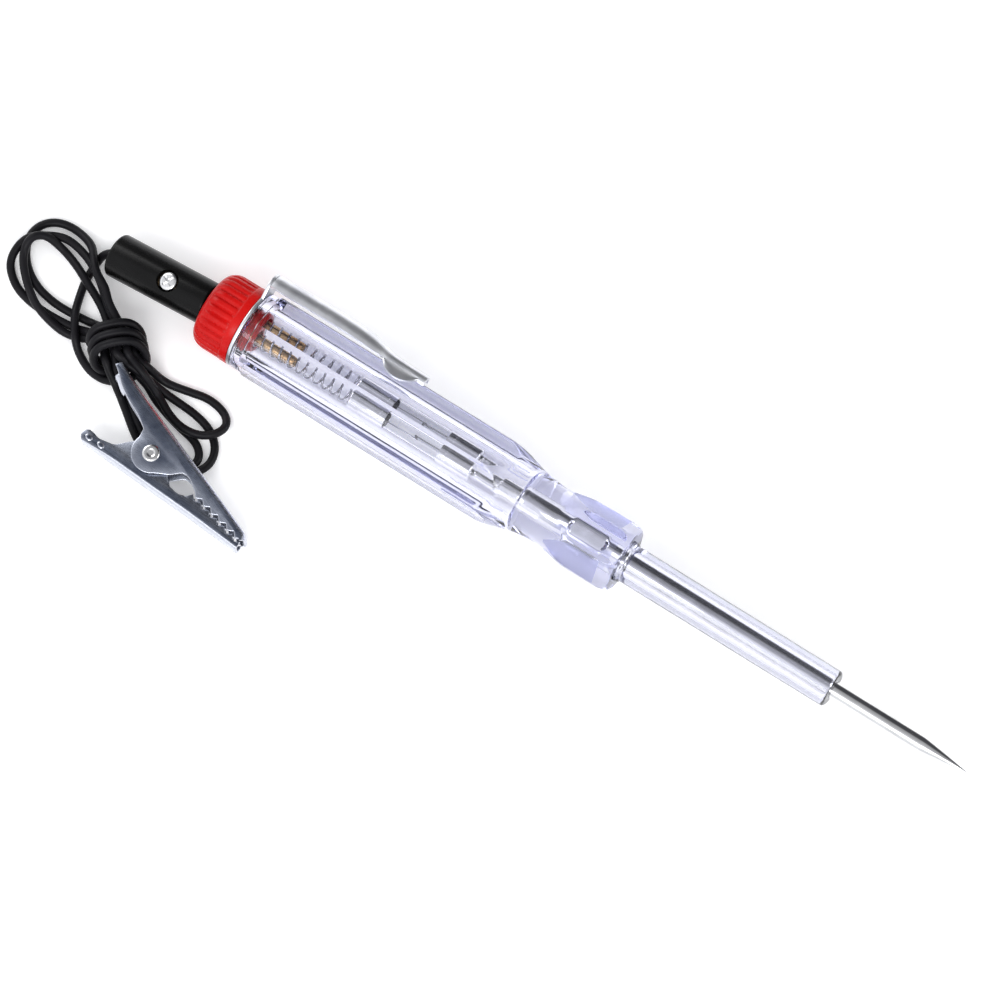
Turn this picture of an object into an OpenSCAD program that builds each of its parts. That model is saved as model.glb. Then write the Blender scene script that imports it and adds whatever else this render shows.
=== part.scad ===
// Automotive circuit test light: a pen-shaped probe with a clear handle, a lamp held by a
// contact spring, a screw cap with a pocket clip under it, and a plug-in lead that ends in
// an alligator clip.
// Units are millimetres. The pen lies along X with the probe tip towards +X, and it rests on
// the plane z = 0. The origin is below the middle of the pen. The lead is folded into a
// hank and lies on the same plane beside the rear end. A "station" is a distance measured
// from the probe tip towards the rear.

/* [Probe rod] */
// Diameter of the steel probe rod
rod_d = 3.9; // [3.2:0.1:4.6]
// Length of the ground conical point
point_len = 10.5; // [6:0.5:14]
// Distance from the tip to the front end of the clear sleeve
rod_bare_len = 31.8; // [20:0.2:40]
// Diameter of the reduced contact end inside the lamp bore
contact_d = 2.7; // [2:0.1:3]
// Width of the flattened part that stops the rod turning
wing_w = 4.6; // [4:0.1:6]

/* [Clear sleeve] */
// Outside diameter of the sleeve on the rod
sleeve_d = 8.1; // [7:0.1:9]
// Visible length of the sleeve
sleeve_len = 49.9; // [30:0.1:60]

/* [Clear handle] */
// Length of the hexagonal collar at the front
collar_len = 12; // [10:0.5:14]
// Width of the collar across its corners
collar_ac = 15.4; // [14.6:0.1:16]
// Diameter of the round waist behind the collar
waist_d = 12.8; // [12:0.1:14]
// Length of the waist between collar and body
waist_len = 17; // [14:0.5:20]
// Width of the hexagonal body across its flats
body_af = 16.6; // [16:0.1:17]
// Width of the hexagonal body across its eased corners
body_ac = 18.4; // [18:0.1:19]
// Length of the hexagonal body
body_len = 59.3; // [55:0.1:62]
// Diameter of the round flange at the rear of the handle
flange_d = 16.9; // [16:0.1:17]
// Length of the round flange
flange_len = 2.2; // [1.5:0.1:3]
// Diameter of the lamp bore
bore_d = 10; // [9.6:0.1:10.4]
// Depth of the lamp bore from the rear face
bore_depth = 66.3; // [65:0.1:67]

/* [Lamp and spring] */
// Diameter of the tubular lamp's metal end caps
lamp_d = 6.3; // [6:0.1:6.5]
// Overall length of the lamp
lamp_len = 30; // [28:0.5:31]
// Outside diameter of the contact spring
spring_od = 5; // [4.8:0.1:5.2]
// Diameter of the contact spring's wire
spring_wire = 0.5; // [0.4:0.05:0.6]
// Number of turns in the contact spring
spring_turns = 11; // [8:1:16]

/* [Screw cap] */
// Diameter of the cap
cap_d = 17; // [16:0.1:17.4]
// Length of the cap
cap_len = 9.2; // [8:0.1:10]
// Number of flutes round the cap
cap_flutes = 28; // [24:1:40]
// Pitch of the cap's thread
thread_pitch = 1.25; // [1:0.05:1.5]

/* [Pocket clip] */
// Thickness of the spring steel
clip_t = 0.6; // [0.5:0.05:0.7]
// Length of the clip arm
clip_len = 40.8; // [36:0.2:44]
// Outer radius of the arm's arched section
clip_r = 3.3; // [3:0.1:3.5]

/* [Lead plug] */
// Diameter of the black plug shell
plug_d = 9.3; // [9:0.1:9.8]
// Length of the plug shell
plug_len = 23.4; // [20:0.2:24]
// Diameter of the brass plug pin
pin_d = 3.6; // [3.4:0.05:3.7]
// Angle by which the loose shell hangs down in the cap
plug_droop = 10; // [0:0.5:10]
// Angle by which the loose shell is turned to one side
plug_yaw = 1.5; // [0:0.5:4]

/* [Alligator clip] */
// Height of the outer jaw's channel
jaw_h = 5.6; // [5:0.1:6]
// Thickness of the jaw sheet
jaw_t = 0.6; // [0.5:0.05:0.7]
// Diameter of the rivet's shank
rivet_d = 2.4; // [2:0.1:2.6]

/* [Lead] */
// Diameter of the lead
cord_d = 1.75; // [1.5:0.05:2]

/* [Hidden] */
$fn = 64;

// Stations along the pen, counted from the tip
collar_st = rod_bare_len + sleeve_len;
waist_st = collar_st + collar_len;
body_st = waist_st + waist_len;
flange_st = body_st + body_len;
rear_st = flange_st + flange_len;
bore_st = rear_st - bore_depth;
lamp_st = bore_st + 11.3;
lamp_end_st = lamp_st + lamp_len;
ring_st = rear_st + 0.1;
cap_st = ring_st + 0.8;
cap_end_st = cap_st + cap_len;
plug_st = cap_end_st - 0.3;
overall_len = plug_st + plug_len;
flat_st = collar_st + 4.3;
flat_len = 8.6;

// Pose of the pen's axis
tip_x = overall_len / 2;
axis_z = body_ac / 2;
axis_y = -1.3;

// Clearances
turn_gap = 0.05;
ridge_gap = 0.08;

// Thread stand-in on the cap's spigot
spigot_d = 8.9;
spigot_len = 2.6;
ridges = 2;
cap_bore_d = 6.3;
socket_d = 5.7;
socket_flange_d = 6.1;
socket_flange_st = rear_st - 1.4;
socket_flange_t = 0.8;

// Pocket clip: the arm straddles the body's corner at this angle from the vertical
clip_angle = 60;
clip_centre_r = 9.8;
clip_half_w = 3;
clip_edge_r = clip_centre_r + sqrt(clip_r * clip_r - clip_half_w * clip_half_w);
clip_bend_st = rear_st - 14;
clip_bend = 7.5;
clip_rib_r = 1.5;
clip_rib_at = 9.9;
clip_ear_st = rear_st - 31.5;
clip_ear_half = 4.25;
clip_ear_depth = 2.6;
clip_ear_lean = 59;

// Alligator clip: place of the rivet, direction of the jaws, height above the plane
rivet_x = -73;
rivet_y = -33.4;
jaw_yaw = -13.6;
jaw_z = 1.9;
inner_jaw_gap = 0.15;
jaw_hole_d = rivet_d + 2 * turn_gap;

// Lead: from the barrel of the plug pin, out of the shell's rear end and down to the hank
LEAD_ROUTE = [[-94, -1.7, 6.7], [-98.4, -1.8, 5.9], [-102.7, -1.9, 5.1], [-104.3, -2.3, 4.5],
    [-105.4, -3.6, 3.4], [-105.8, -5.8, 2.4], [-105.4, -8.6, 1.8]];
wrap_x = -91.3;
wrap_y = -17.3;
wrap_yaw = -45;
wrap_len = 7;
wrap_half_w = 6.2;
wrap_half_h = 4.9;
hank_upper_h = 3.6;
hank_lower_h = 1.8;

// Radius of the handle at distances from the start of the waist
WAIST = [[-1, 7.6], [1.6, 7.1], [3.7, 6.65], [5.7, 6.4], [7.7, 6.45], [9.7, 6.7], [11.8, 7.1],
    [13.8, 7.65], [15.8, 8.25], [18.3, 9], [19.6, 9.2]];

// Turns a shape drawn with +Z as the pen's axis, z = station, into the pen's place
module on_pen() {
    translate([tip_x, axis_y, axis_z])
        rotate([0, -90, 0])
            children();
}

// A hexagonal prism between two stations, with a flat or a corner upwards
module hexagon(across_flats, from_st, to_st, corner_up) {
    translate([0, 0, from_st])
        rotate([0, 0, corner_up ? 0 : 30])
            cylinder(d = across_flats / cos(30), h = to_st - from_st, $fn = 6);
}

// The handle's turned envelope, which the hexagonal stretches are cut from
module handle_envelope() {
    front_r = WAIST[0][1];
    rotate_extrude($fn = 96)
        polygon(concat(
            [[0, collar_st], [front_r - 0.9, collar_st], [front_r - 0.3, collar_st + 0.6],
             [front_r, collar_st + 2.4]],
            [for (p = WAIST) [p[1], waist_st + p[0]]],
            [[body_ac / 2, flange_st + 0.1], [0, flange_st + 0.1]]));
}

module clear_handle() {
    mid_st = waist_st + 5;
    color("lavender", 0.5)
        on_pen()
            difference() {
                union() {
                    intersection() {
                        handle_envelope();
                        union() {
                            hexagon(collar_ac * cos(30), collar_st - 1, mid_st + 0.4, false);
                            hexagon(body_af, mid_st - 0.4, flange_st + 0.1, true);
                        }
                    }
                    translate([0, 0, flange_st])
                        cylinder(d = flange_d, h = flange_len);
                }
                translate([0, 0, bore_st])
                    cylinder(d = bore_d, h = bore_depth + 1);
                translate([0, 0, collar_st - 1])
                    cylinder(d = rod_d + 0.04, h = flat_st - collar_st + 1);
                translate([0, 0, flat_st + flat_len])
                    cylinder(d = rod_d + 0.04, h = bore_st - flat_st - flat_len + 1);
                translate([0, 0, collar_st - 1])
                    cylinder(d = sleeve_d + 0.04, h = 4.5);
                rod_wings(0.05);
            }
}

// The flattened part of the rod that the handle is moulded round
module rod_wings(gap) {
    translate([-rod_d / 3 - gap, -wing_w / 2 - gap, flat_st - gap])
        cube([rod_d * 2 / 3 + 2 * gap, wing_w + 2 * gap, flat_len + 2 * gap]);
}

module probe_rod() {
    contact_st = bore_st + 6;
    color("silver")
        on_pen()
            union() {
                rotate_extrude()
                    polygon([[0, 0], [0.12, 0.05], [rod_d / 2, point_len],
                        [rod_d / 2, rod_bare_len], [rod_d / 2 - 0.2, rod_bare_len + 0.3],
                        [rod_d / 2 - 0.2, rod_bare_len + 0.7], [rod_d / 2, rod_bare_len + 1],
                        [rod_d / 2, flat_st], [0, flat_st]]);
                rotate_extrude()
                    polygon([[0, flat_st + flat_len], [rod_d / 2, flat_st + flat_len],
                        [rod_d / 2, contact_st], [contact_d / 2, contact_st + 0.3],
                        [contact_d / 2, lamp_st - 0.25], [contact_d / 2 - 0.2, lamp_st - 0.05],
                        [0, lamp_st - 0.05]]);
                rod_wings(0);
            }
}

module probe_sleeve() {
    color("whitesmoke", 0.5)
        on_pen()
            rotate_extrude()
                polygon([[rod_d / 2 + 0.02, rod_bare_len], [sleeve_d / 2 - 0.9, rod_bare_len],
                    [sleeve_d / 2 - 0.25, rod_bare_len + 0.4], [sleeve_d / 2, rod_bare_len + 1.2],
                    [sleeve_d / 2, collar_st - 1], [sleeve_d / 2 + 0.6, collar_st - 0.8],
                    [sleeve_d / 2 + 0.6, collar_st - 0.02], [sleeve_d / 2, collar_st - 0.02],
                    [sleeve_d / 2, collar_st + 3.4], [rod_d / 2 + 0.02, collar_st + 3.4]]);
}

// A metal cup on one end of the lamp, closed at the lower station
module lamp_cup(length) {
    wall = 0.25;
    rotate_extrude()
        polygon([[0, 0], [lamp_d / 2 - 0.35, 0], [lamp_d / 2, 0.35], [lamp_d / 2, length],
            [lamp_d / 2 - wall, length], [lamp_d / 2 - wall, 0.5], [0, 0.5]]);
}

module lamp_front_cap() {
    color("gainsboro")
        on_pen()
            translate([0, 0, lamp_st])
                lamp_cup(8);
}

module lamp_rear_cap() {
    color("gainsboro")
        on_pen()
            translate([0, 0, lamp_end_st])
                mirror([0, 0, 1])
                    lamp_cup(9);
}

module lamp_glass() {
    outer_r = lamp_d / 2 - 0.3;
    wall = 0.5;
    color("azure", 0.4)
        on_pen()
            translate([0, 0, lamp_st + 3])
                rotate_extrude()
                    polygon([[0, 0], [outer_r - 1, 0], [outer_r, 1],
                        [outer_r, lamp_len - 8], [outer_r - 1, lamp_len - 7], [0, lamp_len - 7],
                        [0, lamp_len - 7 - wall], [outer_r - 1 - wall / 2, lamp_len - 7 - wall],
                        [outer_r - wall, lamp_len - 8], [outer_r - wall, 1],
                        [outer_r - 1 - wall / 2, wall], [0, wall]]);
}

module lamp_filament() {
    glass_mid = lamp_len / 2 - 0.5;
    color("dimgray")
        on_pen()
            translate([0, 0, lamp_st]) {
                translate([0.7, -0.2, 3.52])
                    cube([0.4, 0.4, glass_mid - 3.3]);
                translate([-1.1, -0.2, glass_mid - 0.2])
                    cube([0.4, 0.4, lamp_len - 4.52 - glass_mid + 0.2]);
                translate([-1.3, -0.3, glass_mid - 0.3])
                    cube([2.6, 0.6, 0.6]);
            }
}

module contact_spring() {
    front_st = lamp_end_st + 0.02;
    back_st = socket_flange_st - 0.02;
    steps = 20;
    rise = back_st - front_st - spring_wire;
    mean_r = (spring_od - spring_wire) / 2;
    color("lightgray")
        on_pen()
            tube([for (i = [0:steps * spring_turns])
                [mean_r * cos(360 * i / steps), mean_r * sin(360 * i / steps),
                 front_st + spring_wire / 2 + rise * i / (steps * spring_turns)]],
                spring_wire, 6);
}

// Points on an arc, from one angle to another
function arc(r, from, to, steps) =
    [for (i = [0:steps]) let (a = from + (to - from) * i / steps) [r * cos(a), r * sin(a)]];

// Outline of a bent strip: an arch of the sheet's thickness, outward along +X
module arch(outer_r, half_angle, steps) {
    polygon(concat(arc(outer_r, -half_angle, half_angle, steps),
        arc(outer_r - clip_t, half_angle, -half_angle, steps)));
}

module clip_section() {
    translate([clip_centre_r, 0])
        arch(clip_r, asin(clip_half_w / clip_r), 10);
}

// Places a shape whose outward direction is +X over the corner that the clip straddles
module at_clip() {
    on_pen()
        rotate([0, 0, clip_angle])
            children();
}

module pocket_clip_ring() {
    tongue_angle = asin(clip_half_w / clip_r);
    color("gainsboro")
        at_clip()
            translate([0, 0, ring_st])
                linear_extrude(0.7)
                    difference() {
                        union() {
                            circle(d = cap_d);
                            polygon(concat([[0, clip_half_w], [0, -clip_half_w]],
                                [for (p = arc(clip_r, -tongue_angle, tongue_angle, 10))
                                    p + [clip_centre_r, 0]]));
                        }
                        circle(d = 10.4);
                    }
}

// One flat ear beside the rib, slanting down to just above the body's flat
module clip_ear(side) {
    ear_r = (clip_ear_half * clip_ear_half + clip_ear_depth * clip_ear_depth) / 2 / clip_ear_depth;
    ear_a = asin(clip_ear_half / ear_r);
    translate([clip_rib_at, side * clip_rib_r, clip_ear_st])
        rotate([0, 0, side * (180 - clip_ear_lean)])
            rotate([90, 0, 0])
                translate([0, 0, side > 0 ? 0 : -clip_t])
                    linear_extrude(clip_t)
                        polygon(concat([[-0.3, -clip_ear_half], [-0.3, clip_ear_half]],
                            [for (p = arc(ear_r, ear_a, -ear_a, 12))
                                p + [clip_ear_depth - ear_r, 0]]));
}

module pocket_clip_arm() {
    rear_len = rear_st + 0.05 - clip_bend_st;
    front_len = 13.4;
    color("gainsboro")
        at_clip() {
            translate([0, 0, clip_bend_st - 0.2])
                linear_extrude(rear_len + 0.2)
                    clip_section();
            translate([clip_centre_r, 0, clip_bend_st])
                rotate([0, clip_bend, 0])
                    translate([-clip_centre_r, 0, -front_len])
                        linear_extrude(front_len + 0.6)
                            clip_section();
            for (side = [-1, 1])
                clip_ear(side);
            translate([clip_rib_at, 0, rear_st + 0.05 - clip_len + 3.6])
                linear_extrude(10.7)
                    arch(clip_rib_r, 90, 12);
        }
}

module brass_socket() {
    color("goldenrod")
        on_pen()
            rotate_extrude()
                polygon([[pin_d / 2 + 0.07, socket_flange_st],
                    [socket_flange_d / 2, socket_flange_st],
                    [socket_flange_d / 2, socket_flange_st + socket_flange_t],
                    [socket_d / 2, socket_flange_st + socket_flange_t],
                    [socket_d / 2, cap_end_st - 1.6], [pin_d / 2 + 0.07, cap_end_st - 1.6]]);
}

// The fluted outline of the cap
module cap_outline() {
    difference() {
        circle(d = cap_d);
        for (i = [0:cap_flutes - 1])
            rotate([0, 0, i * 360 / cap_flutes])
                translate([cap_d / 2 + 0.25, 0])
                    circle(d = 1.1, $fn = 16);
    }
}

module screw_cap() {
    band = 1.9;
    shoulder_st = socket_flange_st + socket_flange_t + turn_gap;
    color("red")
        on_pen()
            difference() {
                union() {
                    intersection() {
                        union() {
                            translate([0, 0, cap_st])
                                cylinder(d = cap_d, h = band);
                            translate([0, 0, cap_st + band])
                                linear_extrude(cap_len - band)
                                    cap_outline();
                        }
                        rotate_extrude()
                            polygon([[0, cap_st - 1], [cap_d / 2 + 1, cap_st - 1],
                                [cap_d / 2 + 1, cap_end_st - 4.1], [cap_d / 2, cap_end_st - 4],
                                [cap_d / 2 - 0.5, cap_end_st - 2.8], [cap_d / 2 - 1.3, cap_end_st - 1.5],
                                [cap_d / 2 - 2.3, cap_end_st - 0.5], [cap_d / 2 - 2.8, cap_end_st],
                                [0, cap_end_st]]);
                    }
                    translate([0, 0, rear_st - spigot_len])
                        cylinder(d = spigot_d, h = spigot_len + 1.5);
                    for (i = [0:ridges - 1])
                        translate([0, 0, rear_st - spigot_len + 0.4 + i * thread_pitch])
                            thread_ridge();
                }
                translate([0, 0, rear_st - spigot_len - 1])
                    cylinder(d = cap_bore_d, h = shoulder_st - rear_st + spigot_len + 1);
                translate([0, 0, shoulder_st - 1])
                    cylinder(d = socket_d + 2 * turn_gap, h = cap_len + 4);
                translate([0, 0, cap_end_st - 1.4])
                    cylinder(d = plug_d + 1.6, h = 3);
            }
}

// One turn of the thread, as a ridge that fills the bore with running clearance
module thread_ridge() {
    crest_r = bore_d / 2 - ridge_gap;
    rotate_extrude()
        polygon([[spigot_d / 2 - 0.3, 0], [crest_r, 0.3], [crest_r, 0.55], [spigot_d / 2 - 0.3, 0.85]]);
}

// Turns a shape drawn along +Z from the plug's front end into the hanging shell's place
module on_plug() {
    translate([tip_x - plug_st, axis_y, axis_z])
        rotate([0, 0, plug_yaw])
            rotate([0, -90 - plug_droop, 0])
                children();
}

// Brass barrel inside the shell and the screw that clamps the lead in it
screw_at = 9.4;
screw_lean = 9;
barrel_d = 5.3;

module plug_shell() {
    color("black")
        on_plug()
            difference() {
                rotate_extrude()
                    polygon([[0, 0], [plug_d / 2 - 0.3, 0], [plug_d / 2, 0.3],
                        [plug_d / 2, plug_len - 0.4], [plug_d / 2 - 0.4, plug_len], [0, plug_len]]);
                translate([0, 0, -1])
                    cylinder(d = barrel_d + 0.02, h = 16.2);
                translate([0, 0, 14])
                    cylinder(d = cord_d + 0.1, h = plug_len);
                translate([0, 0, screw_at])
                    rotate([screw_lean, 90, 0])
                        cylinder(d = 4.7, h = plug_d);
            }
}

module plug_pin() {
    color("goldenrod")
        difference() {
            union() {
                on_pen()
                    rotate_extrude()
                        polygon([[0, rear_st - 12], [pin_d / 2 - 0.5, rear_st - 12],
                            [pin_d / 2, rear_st - 11.4], [pin_d / 2, plug_st + 2.5],
                            [0, plug_st + 2.5]]);
                on_plug()
                    translate([0, 0, 1.2])
                        cylinder(d = barrel_d, h = 12.8);
            }
            on_plug()
                translate([0, 0, 6])
                    cylinder(d = cord_d - 0.15, h = 10);
            on_plug()
                translate([0, 0, screw_at])
                    rotate([screw_lean, 90, 0])
                        cylinder(d = 2.6, h = plug_d);
        }
}

module plug_clamp_screw() {
    color("silver")
        on_plug()
            translate([0, 0, screw_at])
                rotate([screw_lean, 90, 0])
                    difference() {
                        union() {
                            translate([0, 0, 0.9])
                                cylinder(d = 2.56, h = 2.6);
                            translate([0, 0, barrel_d / 2 + 0.05])
                                cylinder(d = 3.9, h = 1.6);
                        }
                        for (turn = [0, 90])
                            rotate([0, 0, turn])
                                translate([-1.4, -0.3, 3.8])
                                    cube([2.8, 0.6, 1]);
                    }
}

module lead_wire_core() {
    color("darkorange")
        on_plug()
            translate([0, 0, 6.1])
                cylinder(d = 1.2, h = 8, $fn = 24);
}

// A smooth curve through the route's points: Catmull-Rom, a few rings for each span
function spline_point(p, i, t) =
    let (a = p[max(i - 1, 0)], b = p[i], c = p[i + 1], d = p[min(i + 2, len(p) - 1)])
    0.5 * (2 * b + (c - a) * t + (2 * a - 5 * b + 4 * c - d) * t * t
        + (3 * b - a - 3 * c + d) * t * t * t);
function spline(p, rings) = concat(
    [for (i = [0:len(p) - 2]) for (k = [0:rings - 1]) spline_point(p, i, k / rings)],
    [p[len(p) - 1]]);
function unit(v) = v / norm(v);

// One closed tube along a path: a ring of corners square to the path at each point
module tube(path, diameter, sides) {
    n = len(path);
    ways = [for (i = [0:n - 1]) unit(path[min(i + 1, n - 1)] - path[max(i - 1, 0)])];
    acrosses = [for (w = ways) unit(cross(w, [0, 0, 1]))];
    points = [for (i = [0:n - 1]) for (k = [0:sides - 1])
        path[i] + diameter / 2 * (cos(360 * k / sides) * acrosses[i]
            + sin(360 * k / sides) * cross(acrosses[i], ways[i]))];
    walls = [for (i = [0:n - 2]) for (k = [0:sides - 1])
        [i * sides + k, i * sides + (k + 1) % sides,
         (i + 1) * sides + (k + 1) % sides, (i + 1) * sides + k]];
    ends = [[for (k = [sides - 1:-1:0]) k], [for (k = [0:sides - 1]) (n - 1) * sides + k]];
    polyhedron(points, concat(walls, ends), convexity = 6);
}

module cord_lead() {
    color("dimgray")
        tube(spline(LEAD_ROUTE, 2), cord_d, 8);
}

module cord_hank_upper() {
    color("dimgray")
        linear_extrude(hank_upper_h)
            hull() {
                translate([-113, -8])
                    circle(r = 7, $fn = 48);
                translate([-112.5, -13])
                    circle(r = 7, $fn = 48);
                translate([-98, -16.8])
                    circle(r = 4, $fn = 32);
            }
}

module cord_hank_lower() {
    color("dimgray")
        linear_extrude(hank_lower_h)
            hull() {
                translate([-68.9, -21.2])
                    circle(r = 5.2, $fn = 32);
                translate([-68.2, -27.6])
                    circle(r = 5.4, $fn = 32);
                translate([-86, -21])
                    circle(r = 3.6, $fn = 32);
            }
}

module cord_wrap() {
    end_r = wrap_half_h;
    color("dimgray")
        translate([wrap_x, wrap_y, wrap_half_h])
            rotate([0, 0, wrap_yaw])
                rotate([90, 0, 90])
                    translate([0, 0, -wrap_len / 2])
                        linear_extrude(wrap_len) {
                            for (side = [-1, 1])
                                translate([side * (wrap_half_w - end_r), 0])
                                    circle(r = end_r);
                            translate([end_r - wrap_half_w, -end_r])
                                square([2 * (wrap_half_w - end_r), 2 * end_r]);
                        }
}

// Places a shape drawn round the rivet's axis, jaws towards +X, plane z = 0 at its underside
module at_rivet() {
    translate([rivet_x, rivet_y, jaw_z])
        rotate([0, 0, jaw_yaw])
            children();
}

// Teeth between two distances from the rivet, as a saw edge at height y0
function teeth(x_from, x_to, count, y0, depth) =
    [for (i = [0:2 * count]) [x_from + (x_to - x_from) * i / (2 * count), y0 + (i % 2) * depth]];

UPPER_BACK = [[26.6, 1.4], [25.2, 2.5], [8, 4.95], [-13.4, 8], [-18, 8.8]];
UPPER_HANDLE = [[-18.6, 7.4], [-15, 5.4], [-11.4, 4.3], [-6.4, 3.2]];
LOWER_BACK = [[26.2, -1.4], [14.4, -3.4], [3, -5.3], [-7, -6.9], [-13.2, -7.6]];
LOWER_HANDLE = [[-13.6, -6.6], [-10, -5.3], [-6.4, -4]];

// Side view of the outer jaw with its handle
module upper_jaw_side() {
    polygon(concat(UPPER_BACK, UPPER_HANDLE,
        [[0, 0], [6.4, 0], [8, 1.9], [11.4, 1.9]], teeth(12, 26, 6, 0.9, -0.9)));
    translate([0, 0.9])
        circle(r = 4.6);
}

// Side view of the inner jaw with its handle
module lower_jaw_side() {
    polygon(concat(LOWER_BACK, LOWER_HANDLE,
        [[-5, -1.6], [-4.2, 1], [-2, 3.4], [1.6, 3.6], [4.4, 1.6], [6.2, -1]],
        [[7.4, -1.9], [11.4, -1.6]], teeth(12, 26, 6, 0.4, -0.9)));
}

// Sheet channel: two cheeks of the side view joined by a web along the back edge
module jaw_channel(height, back_a, back_b) {
    difference() {
        linear_extrude(height)
            children(0);
        translate([0, 0, jaw_t])
            linear_extrude(height - 2 * jaw_t)
                difference() {
                    square(80, center = true);
                    children(1);
                }
        translate([0, 0, -1])
            cylinder(d = jaw_hole_d, h = height + 2, $fn = 32);
    }
}

// A strip of sheet thickness inside a chain of back-edge points
module back_web(points, side) {
    for (i = [0:len(points) - 2])
        polygon([points[i], points[i + 1], points[i + 1] + [0, side * jaw_t],
            points[i] + [0, side * jaw_t]]);
}

module alligator_upper_jaw() {
    color("silver")
        at_rivet()
            jaw_channel(jaw_h) {
                upper_jaw_side();
                back_web(UPPER_BACK, -1);
            }
}

module alligator_lower_jaw() {
    lift = jaw_t + inner_jaw_gap;
    color("silver")
        at_rivet()
            translate([0, 0, lift])
                jaw_channel(jaw_h - 2 * lift) {
                    lower_jaw_side();
                    back_web(LOWER_BACK, 1);
                }
}

module alligator_rivet() {
    head = 0.45;
    color("silver")
        at_rivet()
            rotate_extrude()
                polygon([[0, -0.05], [rivet_d / 2, -0.05], [rivet_d / 2, jaw_h],
                    [1.85, jaw_h], [1.7, jaw_h + head], [0, jaw_h + head]]);
}

module alligator_spring() {
    wire = 0.6;
    coil_r = 1.9;
    start = 66;
    sweep = 852;
    steps = 40;
    low = 2 * jaw_t + inner_jaw_gap + 0.5;
    rise = 1.9;
    color("gray")
        at_rivet()
            tube(concat([[-9.5, 6, low]],
                [for (i = [0:steps])
                    [coil_r * cos(start - sweep * i / steps), coil_r * sin(start - sweep * i / steps),
                     low + rise * i / steps]],
                [[-9, -5.8, low + rise]]), wire, 8);
}

module lead_crimp() {
    color("silver")
        at_rivet()
            translate([-17, 6.9, jaw_h / 2])
                rotate([0, 90, -20])
                    cylinder(d = 2.4, h = 5, $fn = 32);
}

clear_handle();
probe_rod();
probe_sleeve();
lamp_glass();
lamp_front_cap();
lamp_rear_cap();
lamp_filament();
contact_spring();
pocket_clip_ring();
pocket_clip_arm();
brass_socket();
screw_cap();
plug_shell();
plug_pin();
plug_clamp_screw();
lead_wire_core();
cord_lead();
cord_hank_upper();
cord_hank_lower();
cord_wrap();
lead_crimp();
alligator_upper_jaw();
alligator_lower_jaw();
alligator_rivet();
alligator_spring();
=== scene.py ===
import math
import bpy
import bmesh
import numpy as np
from mathutils import Matrix, Vector


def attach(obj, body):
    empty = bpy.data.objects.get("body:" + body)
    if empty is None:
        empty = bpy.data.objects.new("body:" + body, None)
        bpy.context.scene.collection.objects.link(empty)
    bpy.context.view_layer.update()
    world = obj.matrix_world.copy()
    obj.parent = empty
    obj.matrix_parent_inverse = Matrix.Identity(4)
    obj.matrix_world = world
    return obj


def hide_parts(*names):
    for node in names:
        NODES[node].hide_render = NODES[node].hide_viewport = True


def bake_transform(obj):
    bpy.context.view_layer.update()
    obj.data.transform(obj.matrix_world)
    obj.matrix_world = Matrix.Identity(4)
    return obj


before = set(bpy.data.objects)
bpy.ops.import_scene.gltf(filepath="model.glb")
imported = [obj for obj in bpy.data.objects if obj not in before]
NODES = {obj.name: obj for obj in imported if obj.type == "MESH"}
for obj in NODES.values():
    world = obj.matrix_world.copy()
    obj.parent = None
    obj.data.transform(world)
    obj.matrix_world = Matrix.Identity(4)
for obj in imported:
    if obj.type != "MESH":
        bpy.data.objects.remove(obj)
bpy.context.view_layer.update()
MM = 0.001
TAU = 2 * math.pi

# ---------------------------------------------------------------- places, in millimetres
# the pen's axis, and the probe's tip, from which stations along the pen are counted
TIP_X, AXIS_Y, AXIS_Z = 102.7, -1.3, 9.2
# stations of the handle: its collar's face, the end of its hexagon, its rear end, the bore's floor
COLLAR, BODY_END, REAR, BORE = 81.7, 170.0, 172.2, 105.9
# stations of the screw cap's two faces, and of the plug's seat
CAP_F, CAP_R, PLUG_S = 173.1, 182.3, 182.0
# stations of the lamp's two ends, and of the socket's flange
LAMP_A, LAMP_B, FLANGE = 117.2, 147.2, 170.8
ROD_R = 1.95
CLIP_ANGLE = math.radians(60)
PLUG_YAW, PLUG_DROOP, PLUG_LEN = math.radians(1.5), math.radians(10), 23.8
RIVET = Vector((-73.0, -33.4, 1.9))
JAW_YAW = math.radians(-13.6)
CORD_D = 1.75


def pen(s, up, side):
    """A place by the pen: a station, and offsets upwards and sideways from the axis."""
    return (TIP_X - s, AXIS_Y + side, AXIS_Z + up)


def clip(s, out, tan):
    """A place by the pen in the pocket clip's directions: outwards, and along the tangent."""
    c, n = math.cos(CLIP_ANGLE), math.sin(CLIP_ANGLE)
    return pen(s, out * c - tan * n, out * n + tan * c)


def metres(point):
    return tuple(c * MM for c in point)


PLUG_M = (Matrix.Translation(Vector(pen(PLUG_S, 0, 0))) @ Matrix.Rotation(PLUG_YAW, 4, "Z")
          @ Matrix.Rotation(-math.pi / 2 - PLUG_DROOP, 4, "Y"))
JAW_M = Matrix.Translation(RIVET) @ Matrix.Rotation(JAW_YAW, 4, "Z")


def plug(z, x, y):
    return tuple(PLUG_M @ Vector((x, y, z)))


def jaw(x, y, z):
    return tuple(JAW_M @ Vector((x, y, z)))


# ---------------------------------------------------------------- camera
# from a little in front of the collar and a little to the alligator clip's side,
# turned so that the pen runs down to the right
ROLL = math.radians(31.75)
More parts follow.
